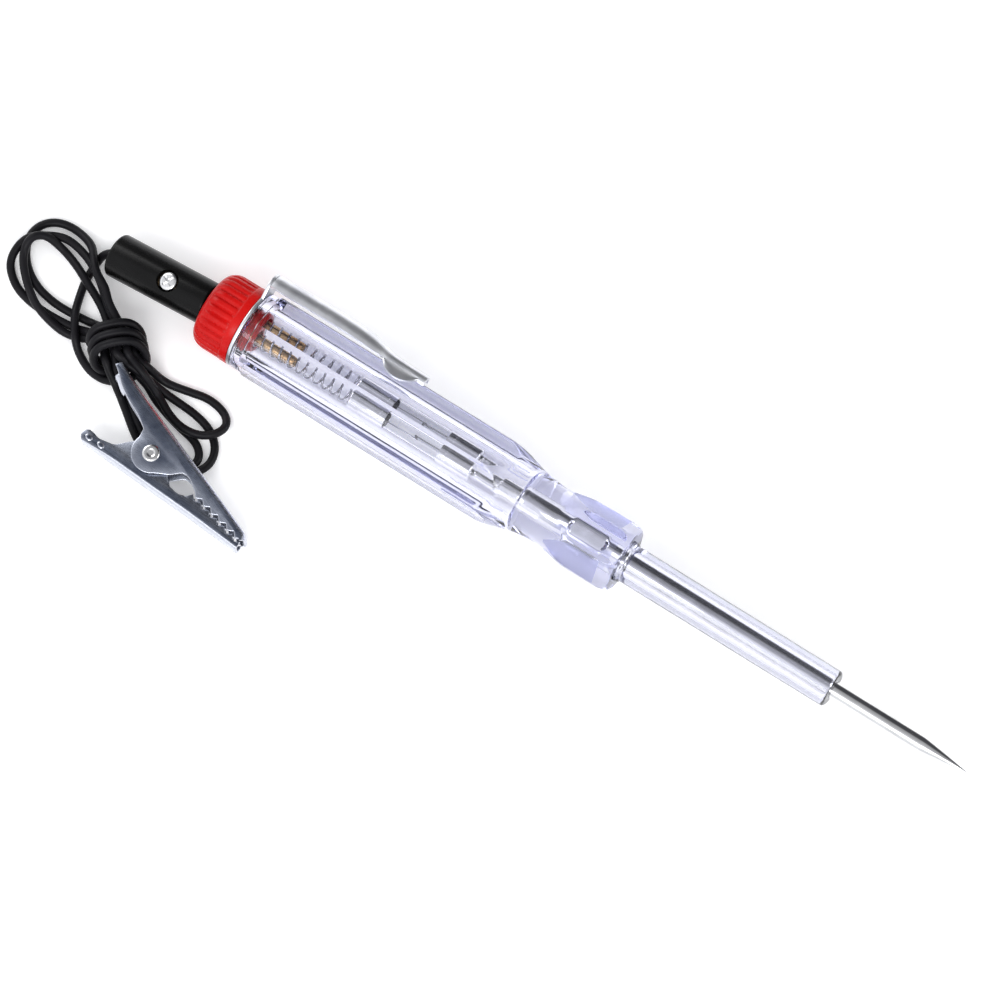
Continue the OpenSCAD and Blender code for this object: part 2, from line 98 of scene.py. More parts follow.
# the picture's width at the pen, and how far right and down of its middle the probe's tip lies
VIEW_WIDTH, TIP_RIGHT, TIP_DOWN = 200.08003, 93.29732, 54.46178
SENSOR = 36
BACK = Vector((0.198, -0.1757, math.sqrt(1 - 0.198 ** 2 - 0.1757 ** 2)))
ALONG = (Vector((1, 0, 0)) - BACK * BACK.x).normalized()
ACROSS = BACK.cross(ALONG)
A = ALONG * math.cos(ROLL) + ACROSS * math.sin(ROLL)
UP = ACROSS * math.cos(ROLL) - ALONG * math.sin(ROLL)
LOOK = -BACK
DIST = 2680.0
centre = Vector(pen(0, 0, 0)) - A * TIP_RIGHT + UP * TIP_DOWN
cam_data = bpy.data.cameras.new("camera")
cam = bpy.data.objects.new("camera", cam_data)
bpy.context.scene.collection.objects.link(cam)
cam.location = (centre - LOOK * DIST) * MM
cam.rotation_mode = "QUATERNION"
cam.rotation_quaternion = Matrix((A, UP, -LOOK)).transposed().to_quaternion()
cam_data.sensor_width = SENSOR
cam_data.lens = SENSOR * DIST / VIEW_WIDTH
cam_data.clip_start, cam_data.clip_end = 0.05, 20
bpy.context.scene.camera = cam


# ---------------------------------------------------------------- mesh helpers
# in metres: points this close are one, and edges this short have no length
SAME_PLACE, NO_LENGTH = 2e-7, 1e-8


def smooth_by_angle(me, angle=32):
    bm = bmesh.new()
    bm.from_mesh(me)
    lim = math.radians(angle)
    for f in bm.faces:
        f.smooth = True
    for e in bm.edges:
        e.smooth = not (len(e.link_faces) == 2 and e.calc_face_angle(0) > lim)
    bm.to_mesh(me)
    bm.free()


def piece(name, verts, faces, body, mat, replaces=(), angle=32, normals=True):
    me = bpy.data.meshes.new(name)
    me.from_pydata([metres(v) for v in verts], [], faces)
    bm = bmesh.new()
    bm.from_mesh(me)
    bmesh.ops.remove_doubles(bm, verts=bm.verts, dist=SAME_PLACE)
    bmesh.ops.dissolve_degenerate(bm, edges=bm.edges, dist=NO_LENGTH)
    if normals:
        bmesh.ops.recalc_face_normals(bm, faces=bm.faces)
    bm.to_mesh(me)
    bm.free()
    smooth_by_angle(me, angle)
    ob = bpy.data.objects.new(name, me)
    bpy.context.scene.collection.objects.link(ob)
    me.materials.append(mat)
    if body:
        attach(ob, body)
    if replaces:
        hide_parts(*replaces)
    return ob


def rings_mesh(rings, close_ends=True, loop=False):
    """Quads between equal rings of points; fans close the two ends."""
    n = len(rings[0])
    verts = [p for r in rings for p in r]
    faces = []
    m = len(rings)
    for i in range(m if loop else m - 1):
        a, b = i * n, ((i + 1) % m) * n
        for k in range(n):
            k2 = (k + 1) % n
            faces.append((a + k, a + k2, b + k2, b + k))
    if close_ends and not loop:
        faces.append(tuple(range(n - 1, -1, -1)))
        faces.append(tuple((m - 1) * n + k for k in range(n)))
    return verts, faces


def merge_meshes(parts):
    verts, faces = [], []
    for v, f in parts:
        o = len(verts)
        verts += list(v)
        faces += [tuple(i + o for i in q) for q in f]
    return verts, faces


def eased(points, r, steps=3, closed=False):
    """The same polyline with its corners rounded. r is one radius or one per point."""
    n = len(points)
    rs = r if isinstance(r, (list, tuple)) else [r] * n
    out = []
    for i, p in enumerate(points):
        if (not closed and i in (0, n - 1)) or rs[i] <= 0:
            out.append(tuple(p))
            continue
        a, p, c = (np.array(points[j % n], float) for j in (i - 1, i, i + 1))
        la, lc = np.linalg.norm(a - p), np.linalg.norm(c - p)
        if min(la, lc) < 1e-6:
            out.append(tuple(p))
            continue
        d = min(rs[i], la * 0.45, lc * 0.45)
        s, e = p + (a - p) / la * d, p + (c - p) / lc * d
        for k in range(steps + 1):
            t = k / steps
            out.append(tuple((1 - t) ** 2 * s + 2 * t * (1 - t) * p + t * t * e))
    return out


def round_angles(n):
    return [TAU * k / n for k in range(n)]


def revolve(profile, n=96, place=pen, loop=False):
    """profile is (station, radius) pairs; a closed loop of them makes a ring."""
    rings = []
    for s, r in profile:
        rings.append([place(s, r * math.cos(a), r * math.sin(a)) for a in round_angles(n)])
    verts, faces = rings_mesh(rings, close_ends=False, loop=loop)
    if not loop:
        for i, first in ((0, True), (len(rings) - 1, False)):
            if profile[i][1] > 1e-6:
                idx = [i * n + k for k in range(n)]
                faces.append(tuple(reversed(idx)) if first else tuple(idx))
    return verts, faces


def catmull(points, per):
    """A smooth curve through the points, with a number of steps between each two."""
    p = [np.array(q, float) for q in points]
    out = []
    for i in range(len(p) - 1):
        a, b, c, d = p[max(i - 1, 0)], p[i], p[i + 1], p[min(i + 2, len(p) - 1)]
        for k in range(per):
            t = k / per
            out.append(0.5 * (2 * b + (c - a) * t + (2 * a - 5 * b + 4 * c - d) * t * t
                              + (3 * b - a - 3 * c + d) * t ** 3))
    out.append(p[-1])
    return out


def tube(points, radius, sides):
    """A tube of even thickness along points, with rings turned as little as possible."""
    p = [Vector(q) for q in points]
    n = len(p)
    tan = [(p[min(i + 1, n - 1)] - p[max(i - 1, 0)]).normalized() for i in range(n)]
    ref = Vector((0, 0, 1)) if abs(tan[0].z) < 0.9 else Vector((1, 0, 0))
    u = (ref - tan[0] * ref.dot(tan[0])).normalized()
    rings = []
    for i in range(n):
        u = (u - tan[i] * u.dot(tan[i])).normalized()
        w = tan[i].cross(u)
        rings.append([tuple(p[i] + radius * (math.cos(a) * u + math.sin(a) * w))
                      for a in round_angles(sides)])
    return rings_mesh(rings)


def plate(outline, z0, z1, bevel=0.17):
    """A plate of the alligator clip with eased edges: the outline is a list of (x, y)."""
    n = len(outline)
    pts = [np.array(q, float) for q in outline]
    area = sum(pts[i][0] * pts[(i + 1) % n][1] - pts[(i + 1) % n][0] * pts[i][1] for i in range(n)) / 2
    sgn = 1 if area > 0 else -1
    inner = []
    for i in range(n):
        a, b, c = pts[i - 1], pts[i], pts[(i + 1) % n]
        e1, e2 = b - a, c - b
        n1 = np.array([-e1[1], e1[0]]) / max(np.linalg.norm(e1), 1e-9) * sgn
        n2 = np.array([-e2[1], e2[0]]) / max(np.linalg.norm(e2), 1e-9) * sgn
        m = n1 + n2
        m = m / max(np.linalg.norm(m), 1e-9)
        k = bevel / max(0.5, float(np.dot(m, n1)))
        inner.append(b + m * k)
    between = [p * 0.65 + q * 0.35 for p, q in zip(pts, inner)]
    levels = [(z0, inner), (z0 + bevel * 0.3, between), (z0 + bevel, pts),
              (z1 - bevel, pts), (z1 - bevel * 0.3, between), (z1, inner)]
    rings = [[jaw(float(q[0]), float(q[1]), z) for q in ring] for z, ring in levels]
    return rings_mesh(rings)


def cut_away(ob, cutter_mesh):
    me = bpy.data.meshes.new("cutter")
    me.from_pydata([metres(v) for v in cutter_mesh[0]], [], cutter_mesh[1])
    bm = bmesh.new()
    bm.from_mesh(me)
    bmesh.ops.remove_doubles(bm, verts=bm.verts, dist=SAME_PLACE)
    bmesh.ops.recalc_face_normals(bm, faces=bm.faces)
    bm.to_mesh(me)
    bm.free()
    cut = bpy.data.objects.new("cutter", me)
    bpy.context.scene.collection.objects.link(cut)
    mod = ob.modifiers.new("cut", "BOOLEAN")
    mod.operation, mod.object, mod.solver = "DIFFERENCE", cut, "EXACT"
    bpy.context.view_layer.update()
    dg = bpy.context.evaluated_depsgraph_get()
    new = bpy.data.meshes.new_from_object(ob.evaluated_get(dg))
    ob.modifiers.clear()
    old = ob.data
    ob.data = new
    bpy.data.meshes.remove(old)
    bpy.data.objects.remove(cut)
    smooth_by_angle(ob.data)


BOX_FACES = [(0, 1, 2, 3), (7, 6, 5, 4), (0, 4, 5, 1), (1, 5, 6, 2), (2, 6, 7, 3), (3, 7, 4, 0)]


def cut_cross(ob, place, ends, half_long, half_wide, turn):
    """Two crossed slots cut between two stations."""
    corners = ((-half_long, -half_wide), (half_long, -half_wide), (half_long, half_wide),
               (-half_long, half_wide))
    for angle in (turn, turn + math.pi / 2):
        c, n = math.cos(angle), math.sin(angle)
        box = [place(s, a * c - b * n, a * n + b * c) for s in ends for a, b in corners]
        cut_away(ob, (box, BOX_FACES))


# ---------------------------------------------------------------- materials
def new_mat(name):
    m = bpy.data.materials.new(name)
    m.use_nodes = True
    t = m.node_tree
    bsdf = t.nodes["Principled BSDF"]
    return m, t, bsdf


def coords(t, scale=(1, 1, 1), turn=(0, 0, 0)):
    c = t.nodes.new("ShaderNodeTexCoord")
    mp = t.nodes.new("ShaderNodeMapping")
    mp.inputs["Scale"].default_value = scale
    mp.inputs["Rotation"].default_value = turn
    t.links.new(c.outputs["Object"], mp.inputs["Vector"])
    return mp.outputs["Vector"]


def noise(t, vec, scale, detail=3, rough=0.5):
    n = t.nodes.new("ShaderNodeTexNoise")
    n.inputs["Scale"].default_value = scale
    n.inputs["Detail"].default_value = detail
    n.inputs["Roughness"].default_value = rough
    t.links.new(vec, n.inputs["Vector"])
    return n.outputs["Fac"]


def ramp(t, fac, stops):
    r = t.nodes.new("ShaderNodeValToRGB")
    e = r.color_ramp.elements
    e[0].position, e[0].color = stops[0][0], (*stops[0][1], 1)
    e[1].position, e[1].color = stops[-1][0], (*stops[-1][1], 1)
    for pos, col in stops[1:-1]:
        x = e.new(pos)
        x.color = (*col, 1)
    t.links.new(fac, r.inputs["Fac"])
    return r.outputs["Color"]


def ranged(t, fac, lo, hi):
    r = t.nodes.new("ShaderNodeMapRange")
    r.inputs["From Min"].default_value, r.inputs["From Max"].default_value = 0.3, 0.7
    r.inputs["To Min"].default_value, r.inputs["To Max"].default_value = lo, hi
    t.links.new(fac, r.inputs["Value"])
    return r.outputs["Result"]


def bump(t, bsdf, height, strength, dist):
    b = t.nodes.new("ShaderNodeBump")
    b.inputs["Strength"].default_value = strength
    b.inputs["Distance"].default_value = dist
    t.links.new(height, b.inputs["Height"])
    t.links.new(b.outputs["Normal"], bsdf.inputs["Normal"])


def grey(v):
    return (v, v, v)


def connect(t, value, socket):
    """Put a number, a colour or another node's output on a socket."""
    if isinstance(value, bpy.types.NodeSocket):
        t.links.new(value, socket)
    else:
        socket.default_value = value


def math_node(t, operation, *values):
    n = t.nodes.new("ShaderNodeMath")
    n.operation = operation
    for value, socket in zip(values, n.inputs):
        connect(t, value, socket)
    return n.outputs[0]


def component(t, vector, axis):
    """The size of one component of a vector, without its sign."""
    n = t.nodes.new("ShaderNodeSeparateXYZ")
    t.links.new(vector, n.inputs[0])
    return math_node(t, "ABSOLUTE", n.outputs[axis])


def mixed(t, fac, first, second):
    n = t.nodes.new("ShaderNodeMix")
    n.data_type = "RGBA"
    factor, color_a, color_b, result = n.inputs[0], n.inputs[6], n.inputs[7], n.outputs[2]
    connect(t, fac, factor)
    connect(t, first, color_a)
    connect(t, second, color_b)
    return result


def metal(name, light, dark, rough=(0.12, 0.3), scale=(1, 1, 1), turn=(0, 0, 0), grain=900, bumps=0.06):
    m, t, b = new_mat(name)
    b.inputs["Metallic"].default_value = 1.0
    v = coords(t, scale, turn)
    n1 = noise(t, v, grain, 4, 0.6)
    n2 = noise(t, coords(t), 160, 3, 0.6)
    t.links.new(ramp(t, n2, [(0.35, dark), (0.6, light)]), b.inputs["Base Color"])
    t.links.new(ranged(t, n1, *rough), b.inputs["Roughness"])
    bump(t, b, n1, bumps, 0.00003)
    return m


def clear(name, tint, rough, haze, density, painted_facet_span=None):
    """Clear plastic or glass. The last argument is a stretch along x, in metres, whose side facets are made
    matt and given a painted violet shade.
    """
    m, t, b = new_mat(name)
    b.inputs["Transmission Weight"].default_value = 1.0
    b.inputs["IOR"].default_value = 1.49
    v = coords(t)
    n1 = noise(t, v, 700, 3, 0.6)
    t.links.new(ramp(t, noise(t, v, 60, 2), [(0.3, tint), (0.7, tuple(min(1, c * 1.02) for c in tint))]),
                b.inputs["Base Color"])
    t.links.new(ranged(t, n1, *rough), b.inputs["Roughness"])
    bump(t, b, n1, 0.02, 0.00002)
    if painted_facet_span:
        c = t.nodes.new("ShaderNodeTexCoord")
        masks = []
        for vector, axis, (lo, hi) in ((c.outputs["Object"], 0, painted_facet_span),
                                       (c.outputs["Normal"], 1, (0.845, 0.887))):
            masks.append(math_node(t, "COMPARE", component(t, vector, axis), (lo + hi) / 2, (hi - lo) / 2))
        painted_facets = math_node(t, "MULTIPLY", *masks)
        grain = ranged(t, noise(t, v, 1500, 4, 0.7), 0.25, 0.6)
        rougher = math_node(t, "ADD", math_node(t, "MULTIPLY", painted_facets, grain), ranged(t, n1, *rough))
        t.links.new(rougher, b.inputs["Roughness"])
        # painted shade: the masked facets are coloured violet
        t.links.new(mixed(t, painted_facets, (*tint, 1), (0.62, 0.64, 0.90, 1)), b.inputs["Base Color"])
    if density:
        vol = t.nodes.new("ShaderNodeVolumeAbsorption")
        vol.inputs["Color"].default_value = (*haze, 1)
        vol.inputs["Density"].default_value = density
        t.links.new(vol.outputs["Volume"], t.nodes["Material Output"].inputs["Volume"])
    return m


def plastic(name, light, dark, rough, grain=1200, bumps=0.1, coat=0.0, spec=0.5, scale=(1, 1, 1)):
    m, t, b = new_mat(name)
    v = coords(t, scale)
    n1 = noise(t, v, grain, 4, 0.6)
    n2 = noise(t, v, 120, 3, 0.5)
    t.links.new(ramp(t, n2, [(0.35, dark), (0.65, light)]), b.inputs["Base Color"])
    t.links.new(ranged(t, n1, *rough), b.inputs["Roughness"])
    b.inputs["Coat Weight"].default_value = coat
    b.inputs["Specular IOR Level"].default_value = spec
    bump(t, b, n1, bumps, 0.00004)
    return m


def paint_edge_highlight(mat, color):
    """A painted highlight: a brighter colour where the surface turns away from the object's flat faces."""
    t = mat.node_tree
    base = t.nodes["Principled BSDF"].inputs["Base Color"]
    flat = base.links[0].from_socket
    c = t.nodes.new("ShaderNodeTexCoord")
    turned = t.nodes.new("ShaderNodeMapRange")
    turned.inputs["From Min"].default_value, turned.inputs["From Max"].default_value = 0.995, 0.93
    t.links.new(component(t, c.outputs["Normal"], 2), turned.inputs["Value"])
    t.links.new(mixed(t, turned.outputs["Result"], flat, (*color, 1)), base)


# the handle's side facets on the collar get a painted violet shade, and are matt
M_HANDLE = clear("clear_handle", (0.985, 0.985, 1.0), (0.0, 0.02), (0.58, 0.60, 0.96), 36, (0.0052, 0.0178))
M_SLEEVE = clear("clear_sleeve", (0.95, 0.95, 0.98), (0.03, 0.1), (0.55, 0.57, 0.74), 95)
M_GLASS = clear("lamp_glass", (0.99, 1.0, 1.0), (0.0, 0.01), (0.9, 1, 0.98), 0)
M_ROD = metal("probe_steel", grey(0.78), grey(0.66), (0.06, 0.16), (30, 1, 1), grain=1400, bumps=0.04)
M_LAMPCAP = metal("lamp_cap", grey(0.86), grey(0.74), (0.04, 0.12), bumps=0.03)
M_FILAMENT = metal("filament", grey(0.3), grey(0.16), (0.35, 0.5))
M_SPRING = metal("spring_steel", (0.42, 0.42, 0.45), (0.26, 0.26, 0.29), (0.16, 0.3))
M_CLIP = metal("clip_steel", (0.80, 0.81, 0.84), (0.66, 0.67, 0.71), (0.3, 0.46), (12, 1, 1), grain=900,
               bumps=0.08)
M_BRASS = metal("brass", (0.60, 0.40, 0.20), (0.36, 0.21, 0.09), (0.2, 0.4))
M_COPPER = metal("copper", (0.80, 0.44, 0.26), (0.58, 0.28, 0.14), (0.25, 0.4))
M_SCREW = metal("screw", grey(0.85), grey(0.55), (0.1, 0.35), grain=600, bumps=0.35)
M_ZINC = metal("clip_zinc", (0.165, 0.185, 0.235), (0.085, 0.10, 0.14), (0.2, 0.4), (1, 5, 1),
               (0, 0, math.radians(30)), grain=1100, bumps=0.3)
# painted highlight on the alligator clip's bevels and folded edges, lighter than its dark flats
paint_edge_highlight(M_ZINC, (0.60, 0.62, 0.68))
M_RED = plastic("red_cap", (0.54, 0.007, 0.006), (0.42, 0.004, 0.004), (0.22, 0.34), bumps=0.06, spec=0.16)
M_BLACK = plastic("black_shell", grey(0.004), grey(0.002), (0.2, 0.3), bumps=0.1, scale=(1, 3, 3),
                  spec=0.15)
M_RUBBER = plastic("lead_rubber", (0.009, 0.0085, 0.0105), (0.004, 0.0038, 0.005), (0.36, 0.5), grain=1500,
                   bumps=0.25, spec=0.14)

# ---------------------------------------------------------------- the lead
# the turns round the hank: their middle, the way they face, and how they lean
WRAP_C = np.array([-91.6, -18.2, 4.75])
WRAP_YAW, WRAP_TILT = math.radians(-45), math.radians(10)
WRAP_TURNS, TURN_STEPS, FIRST_STEP = 3, 16, 3
W_AX = np.array([math.cos(WRAP_YAW) * math.cos(WRAP_TILT), math.sin(WRAP_YAW) * math.cos(WRAP_TILT),
                 math.sin(WRAP_TILT)])
W_LAT = np.array([-math.sin(WRAP_YAW), math.cos(WRAP_YAW), 0.0])
W_UP = np.cross(W_AX, W_LAT)


def in_wrap(s, lat, up):
    return tuple(WRAP_C + W_AX * s + W_LAT * lat + W_UP * up)


EXIT = plug(PLUG_LEN, 0, 0)
LEAD = [plug(15.5, 0, 0), plug(19, 0, 0), EXIT, (-104.4, -2.3, 4.7), (-105.5, -3.4, 3.6),
        (-106.0, -5.2, 2.1), (-106.1, -7.4, 1.1),
        (-105.8, -10.2, 1.0), (-105.0, -13.0, 1.6), (-103.8, -15.9, 2.7), (-102.2, -18.6, 2.8),
        (-100.2, -21.2, 2.2), (-98.0, -23.0, 1.6), in_wrap(2.4, -6.2, -3.4)]
# where each strand passes through the turns, across and up from their axis
THROUGH = {"A": (3.2, 0.1), "B": (2.0, 1.45), "C": (0.1, 1.6), "D": (-2.9, 0.2), "F": (-1.6, -1.35),
       "E": (1.2, -1.5), "G": (-0.9, 0.3)}


def strand(key, forward=True):
    la, up = THROUGH[key]
    pts = [in_wrap(s, la, up) for s in (-2.6, -0.9, 0.9, 2.6)]
    return pts if forward else pts[::-1]


def turns():
    pts = []
    for i in range(FIRST_STEP, WRAP_TURNS * TURN_STEPS + 1):
        f = i / TURN_STEPS
        ang = math.pi + TAU * f
        side = 1.5 * math.tanh(3 * math.cos(ang))
        pts.append(in_wrap(3.9 - 2.15 * f - 1.9 * math.sin(ang), side + 3.85 * math.cos(ang),
                           3.85 * math.sin(ang)))
    return pts


# the hank's folds on either side of the turns: three beyond the plug's end, three by the alligator clip
UPPER_1 = [(-98.2, -11.4, 5.6), (-100.6, -9.2, 5.6), (-103.9, -7.4, 5.2), (-106.2, -5.2, 4.6),
      (-108.5, -2.7, 3.0), (-112.7, -1.7, 1.4), (-116.3, -2.7, 0.95), (-118.5, -5.3, 0.95),
      (-118.9, -8.5, 0.95), (-117.8, -11.5, 0.95), (-115.5, -14.2, 0.95), (-112.1, -16.0, 0.95),
      (-107.6, -16.6, 0.95), (-102.3, -16.2, 0.95), (-98.0, -15.8, 2.2)]
UPPER_2 = [(-98.2, -11.9, 4.0), (-102.2, -8.6, 4.6), (-106.1, -6.1, 4.0), (-109.5, -4.8, 2.6),
      (-112.9, -4.5, 2.4), (-116.0, -6.0, 2.7), (-118.5, -8.5, 2.7), (-119.5, -12.1, 2.4),
      (-118.8, -15.6, 1.6), (-115.5, -18.4, 0.95), (-111.1, -19.3, 0.95), (-106.5, -19.1, 0.95),
      (-100.9, -18.5, 0.95)]
UPPER_3 = [(-98.4, -13.2, 3.2), (-101.2, -11.5, 3.2), (-104.7, -9.8, 3.0), (-108.8, -7.8, 2.4),
      (-112.4, -6.6, 1.6), (-115.7, -6.5, 3.0), (-117.6, -7.9, 3.4), (-118.2, -10.5, 2.8),
      (-117.0, -13.5, 2.7), (-114.3, -16.6, 2.7), (-110.7, -19.3, 2.4), (-106.1, -20.5, 2.4),
      (-102.0, -20.4, 1.8)]
LOWER_1 = [(-80.4, -18.3, 1.4), (-75.1, -17.4, 0.95), (-70.8, -16.6, 0.95), (-66.5, -17.4, 1.2),
      (-64.5, -19.8, 2.4), (-65.8, -22.8, 2.7),
      (-68.8, -24.4, 2.7), (-72.2, -24.7, 2.7), (-76.0, -23.6, 2.4), (-80.7, -21.2, 2.8)]
LOWER_2 = [(-76.8, -20.4, 0.95), (-71.8, -20.7, 0.95), (-67.6, -21.7, 0.95), (-64.6, -23.8, 0.95),
      (-63.3, -26.3, 0.95), (-63.4, -28.8, 0.95),
      (-65.3, -31.1, 0.95), (-69.0, -32.9, 0.95), (-73.8, -32.8, 0.95), (-78.1, -31.3, 0.95),
      (-83.1, -27.6, 0.95)]
LOWER_3 = [(-83.0, -20.9, 1.8), (-80.5, -22.2, 0.95), (-75.9, -23.8, 0.95), (-71.8, -24.8, 0.95),
      (-69.0, -25.3, 0.95), (-66.6, -26.6, 0.95), (-65.5, -28.8, 0.95),
      (-66.5, -31.0, 0.95), (-69.2, -32.2, 0.95), (-75.0, -31.3, 0.95), (-80.8, -28.6, 0.95),
      (-86.2, -24.2, 1.6)]
CRIMP = [jaw(-18.6, 7.3, 2.9), jaw(-16.6, 6.7, 2.9), jaw(-13.2, 5.6, 2.8)]
DIVE = [in_wrap(-4.3, -4.4, -2.3), in_wrap(-6.0, -2.2, -2.9), in_wrap(-6.8, 0.3, -2.6),
        in_wrap(-5.8, 2.6, -1.5)]

route, held = [], []
# loop points beyond this x move out in proportion, by this much at the loops' far ends
LOOPS_FROM, LOOPS_LENGTH, LOOPS_OUT = -106.0, 13.0, np.array([-2.0, 0.8, 0])


def lay(points, stiff):
    """Add points to the route. stiff is how firmly each holds its place, from 0 to 1."""
    for q in points:
        q = np.array(q, float)
        far = max(0.0, (LOOPS_FROM - q[0]) / LOOPS_LENGTH)
        route.append(q + LOOPS_OUT * far)
        held.append(stiff)


lay(LEAD[:3], 1.0)
lay(LEAD[3:], 0.05)
lay(turns(), 1.0)
lay(DIVE, 0.3)
lay(strand("A"), 1.0)
lay(LOWER_1, 0.1)
lay(strand("B", False), 1.0)
lay(UPPER_1, 0.1)
lay(strand("C"), 1.0)
lay(LOWER_2, 0.1)
lay(strand("D", False), 1.0)
lay(UPPER_2[::-1], 0.1)
lay(strand("E"), 1.0)
lay(LOWER_3, 0.1)
lay(strand("F", False), 1.0)
lay(UPPER_3[::-1], 0.1)
lay(strand("G")[:3], 1.0)
lay(CRIMP, 1.0)

fine = catmull([np.append(q, h) for q, h in zip(route, held)], 8)
fine = np.array(fine)
seg = np.linalg.norm(np.diff(fine[:, :3], axis=0), axis=1)
arc = np.concatenate([[0], np.cumsum(seg)])
STEP = 0.75
# points held more firmly than this are fixed; heights that the cord's middle stays above
FIXED, LOWEST, RESTING, UNDER_CLIP = 0.9, 0.9, 0.88, 0.98
REPULSION, STIFFNESS, SAG = 0.8, 0.4, 0.01
count = int(arc[-1] / STEP)
t_even = np.linspace(0, arc[-1], count)
P = np.stack([np.interp(t_even, arc, fine[:, i]) for i in range(3)], axis=1)
H = np.clip(np.interp(t_even, arc, fine[:, 3]), 0.03, 1.0)
HOME = P.copy()
step_len = arc[-1] / (count - 1)
# strands keep this far apart, except for neighbours along the cord
REACH = 1.79
near = int(2.6 * CORD_D / step_len)
ii, jj = np.triu_indices(count, near)
shell_at, shell_way = np.array(plug(0, 0, 0)), np.array(plug(1, 0, 0)) - np.array(plug(0, 0, 0))
SHELL_END, SHELL_R = PLUG_LEN + 0.9, 5.6
soft = H < FIXED
exit_i = int(np.argmin(np.linalg.norm(P - np.array(EXIT), axis=1)))
for it in range(160):
    d = P[jj] - P[ii]
    dist = np.linalg.norm(d, axis=1)
    hit = dist < REACH
    a, b, v, L = ii[hit], jj[hit], d[hit], np.maximum(dist[hit], 1e-3)
    push = (REACH - L)[:, None] * v / L[:, None] * 0.5
    wa, wb = 1.05 - H[a], 1.05 - H[b]
    tot = wa + wb
    move = np.zeros_like(P)
    hits = np.zeros(count)
    np.add.at(move, a, -push * 2 * (wa / tot)[:, None])
    np.add.at(move, b, push * 2 * (wb / tot)[:, None])
    np.add.at(hits, a, 1)
    np.add.at(hits, b, 1)
    P += move / np.maximum(hits, 1)[:, None] * REPULSION
    # the cord's own stiffness
    lap = np.zeros_like(P)
    lap[1:-1] = (P[:-2] + P[2:]) / 2 - P[1:-1]
    lap2 = np.zeros_like(P)
    lap2[1:-1] = (lap[:-2] + lap[2:]) / 2 - lap[1:-1]
    P -= lap2 * STIFFNESS * (1 - H)[:, None]
    # back towards its own line, and down
    P[:, :2] += (HOME[:, :2] - P[:, :2]) * (0.2 + 0.3 * (H > FIXED))[:, None]
    P[:, 2] += (HOME[:, 2] - P[:, 2]) * (0.02 + 0.5 * (H > FIXED))
    P[:, 2] -= SAG * soft
    # clear of the plug's shell
    q = P - shell_at
    ax = q @ shell_way
    rad = q - ax[:, None] * shell_way
    rr = np.linalg.norm(rad, axis=1)
    inside = (ax < SHELL_END) & (rr < SHELL_R) & (np.arange(count) > exit_i + 3)
    P[inside] += shell_way * (SHELL_END - ax[inside])[:, None] * 0.3
    # on the surface, and under the alligator clip
    low = P[:, 2] < LOWEST
    P[low, 2] = LOWEST
    rel = P - np.array(RIVET)
    jx = rel[:, 0] * math.cos(JAW_YAW) + rel[:, 1] * math.sin(JAW_YAW)
    jy = -rel[:, 0] * math.sin(JAW_YAW) + rel[:, 1] * math.cos(JAW_YAW)
    under = (jx > -15) & (jy < 8.6 - 0.145 * (jx + 15)) & (jy > -8) & soft & (np.arange(count) < count - 30)
    P[under, 2] = np.minimum(P[under, 2], UNDER_CLIP)
for _ in range(2):
    sm = P.copy()
    sm[1:-1] = P[1:-1] * 0.6 + (P[:-2] + P[2:]) * 0.2
    P = np.where(soft[:, None], sm, P)
P[:, 2] = np.maximum(P[:, 2], RESTING)

curve = bpy.data.curves.new("lead_cord", "CURVE")
curve.dimensions = "3D"
spline = curve.splines.new("POLY")
spline.points.add(len(P) - 1)
for q, v in zip(spline.points, P):
    q.co = (*metres(v), 1)
curve.bevel_depth = CORD_D / 2 * MM
curve.bevel_resolution = 5
curve.use_fill_caps = True
curve.materials.append(M_RUBBER)
cord = bpy.data.objects.new("lead_cord", curve)
bpy.context.scene.collection.objects.link(cord)
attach(cord, "plug")
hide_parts("cord_lead", "cord_hank_upper", "cord_hank_lower", "cord_wrap")

# ---------------------------------------------------------------- clear handle
AROUND = 216
# stations and radii down into the waist behind the collar and up to the hexagon
WAIST = [(92.7, 7.62), (94.4, 7.25), (95.3, 7.05), (97.4, 6.62), (99.4, 6.4), (101.4, 6.46), (103.4, 6.7),
         (105.5, 7.1),
         (107.5, 7.65), (109.5, 8.25), (112, 8.95), (114.5, 9.5), (118, 10)]


def envelope(s):
    """The handle's radius at a station, without its facets."""
    lead_in, waist_from = 2.5, WAIST[0][0]
    if s < COLLAR + lead_in:
        return 6.75 + 1.0 * min(1, max(0, (s - COLLAR) / lead_in)) ** 0.6
    if s < waist_from:
        return 7.75 - 0.13 * max(0, (s - 88) / 4.7)
    xs = np.array([w[0] for w in WAIST])
    ys = np.array([w[1] for w in WAIST])
    k = np.linspace(-1.2, 1.2, 9)
    return float(np.mean(np.interp(s + k, xs, ys)))


def hexagon(theta, flat, phase, rc):
    """A rounded hexagon's radius: flat is half its width, rc its corners' radius."""
    d = (theta - phase + math.pi / 6) % (math.pi / 3) - math.pi / 6
    d = abs(d)
    t = math.atan((flat - rc) * math.tan(math.pi / 6) / flat)
    if d <= t:
        return flat / math.cos(d)
    c = (flat - rc) / math.cos(math.pi / 6)
    e = math.pi / 6 - d
    return c * math.cos(e) + math.sqrt(max(0, rc * rc - (c * math.sin(e)) ** 2))


def soft_min(a, b, p):
    """The smaller of the two, with the corner between them eased: more so for a small p."""
    m = min(a, b)
    return m * ((a / m) ** -p + (b / m) ** -p) ** (-1 / p)


# half widths across the flats of the collar and the body, their corners' radius, and the radius
# that the body's corners are cut back to, apart from the top one
COLLAR_FLAT, BODY_FLAT, CORNER_R, CUT_BACK_R = 6.68, 8.3, 0.3, 9.22
HEXAGON_FROM = 99


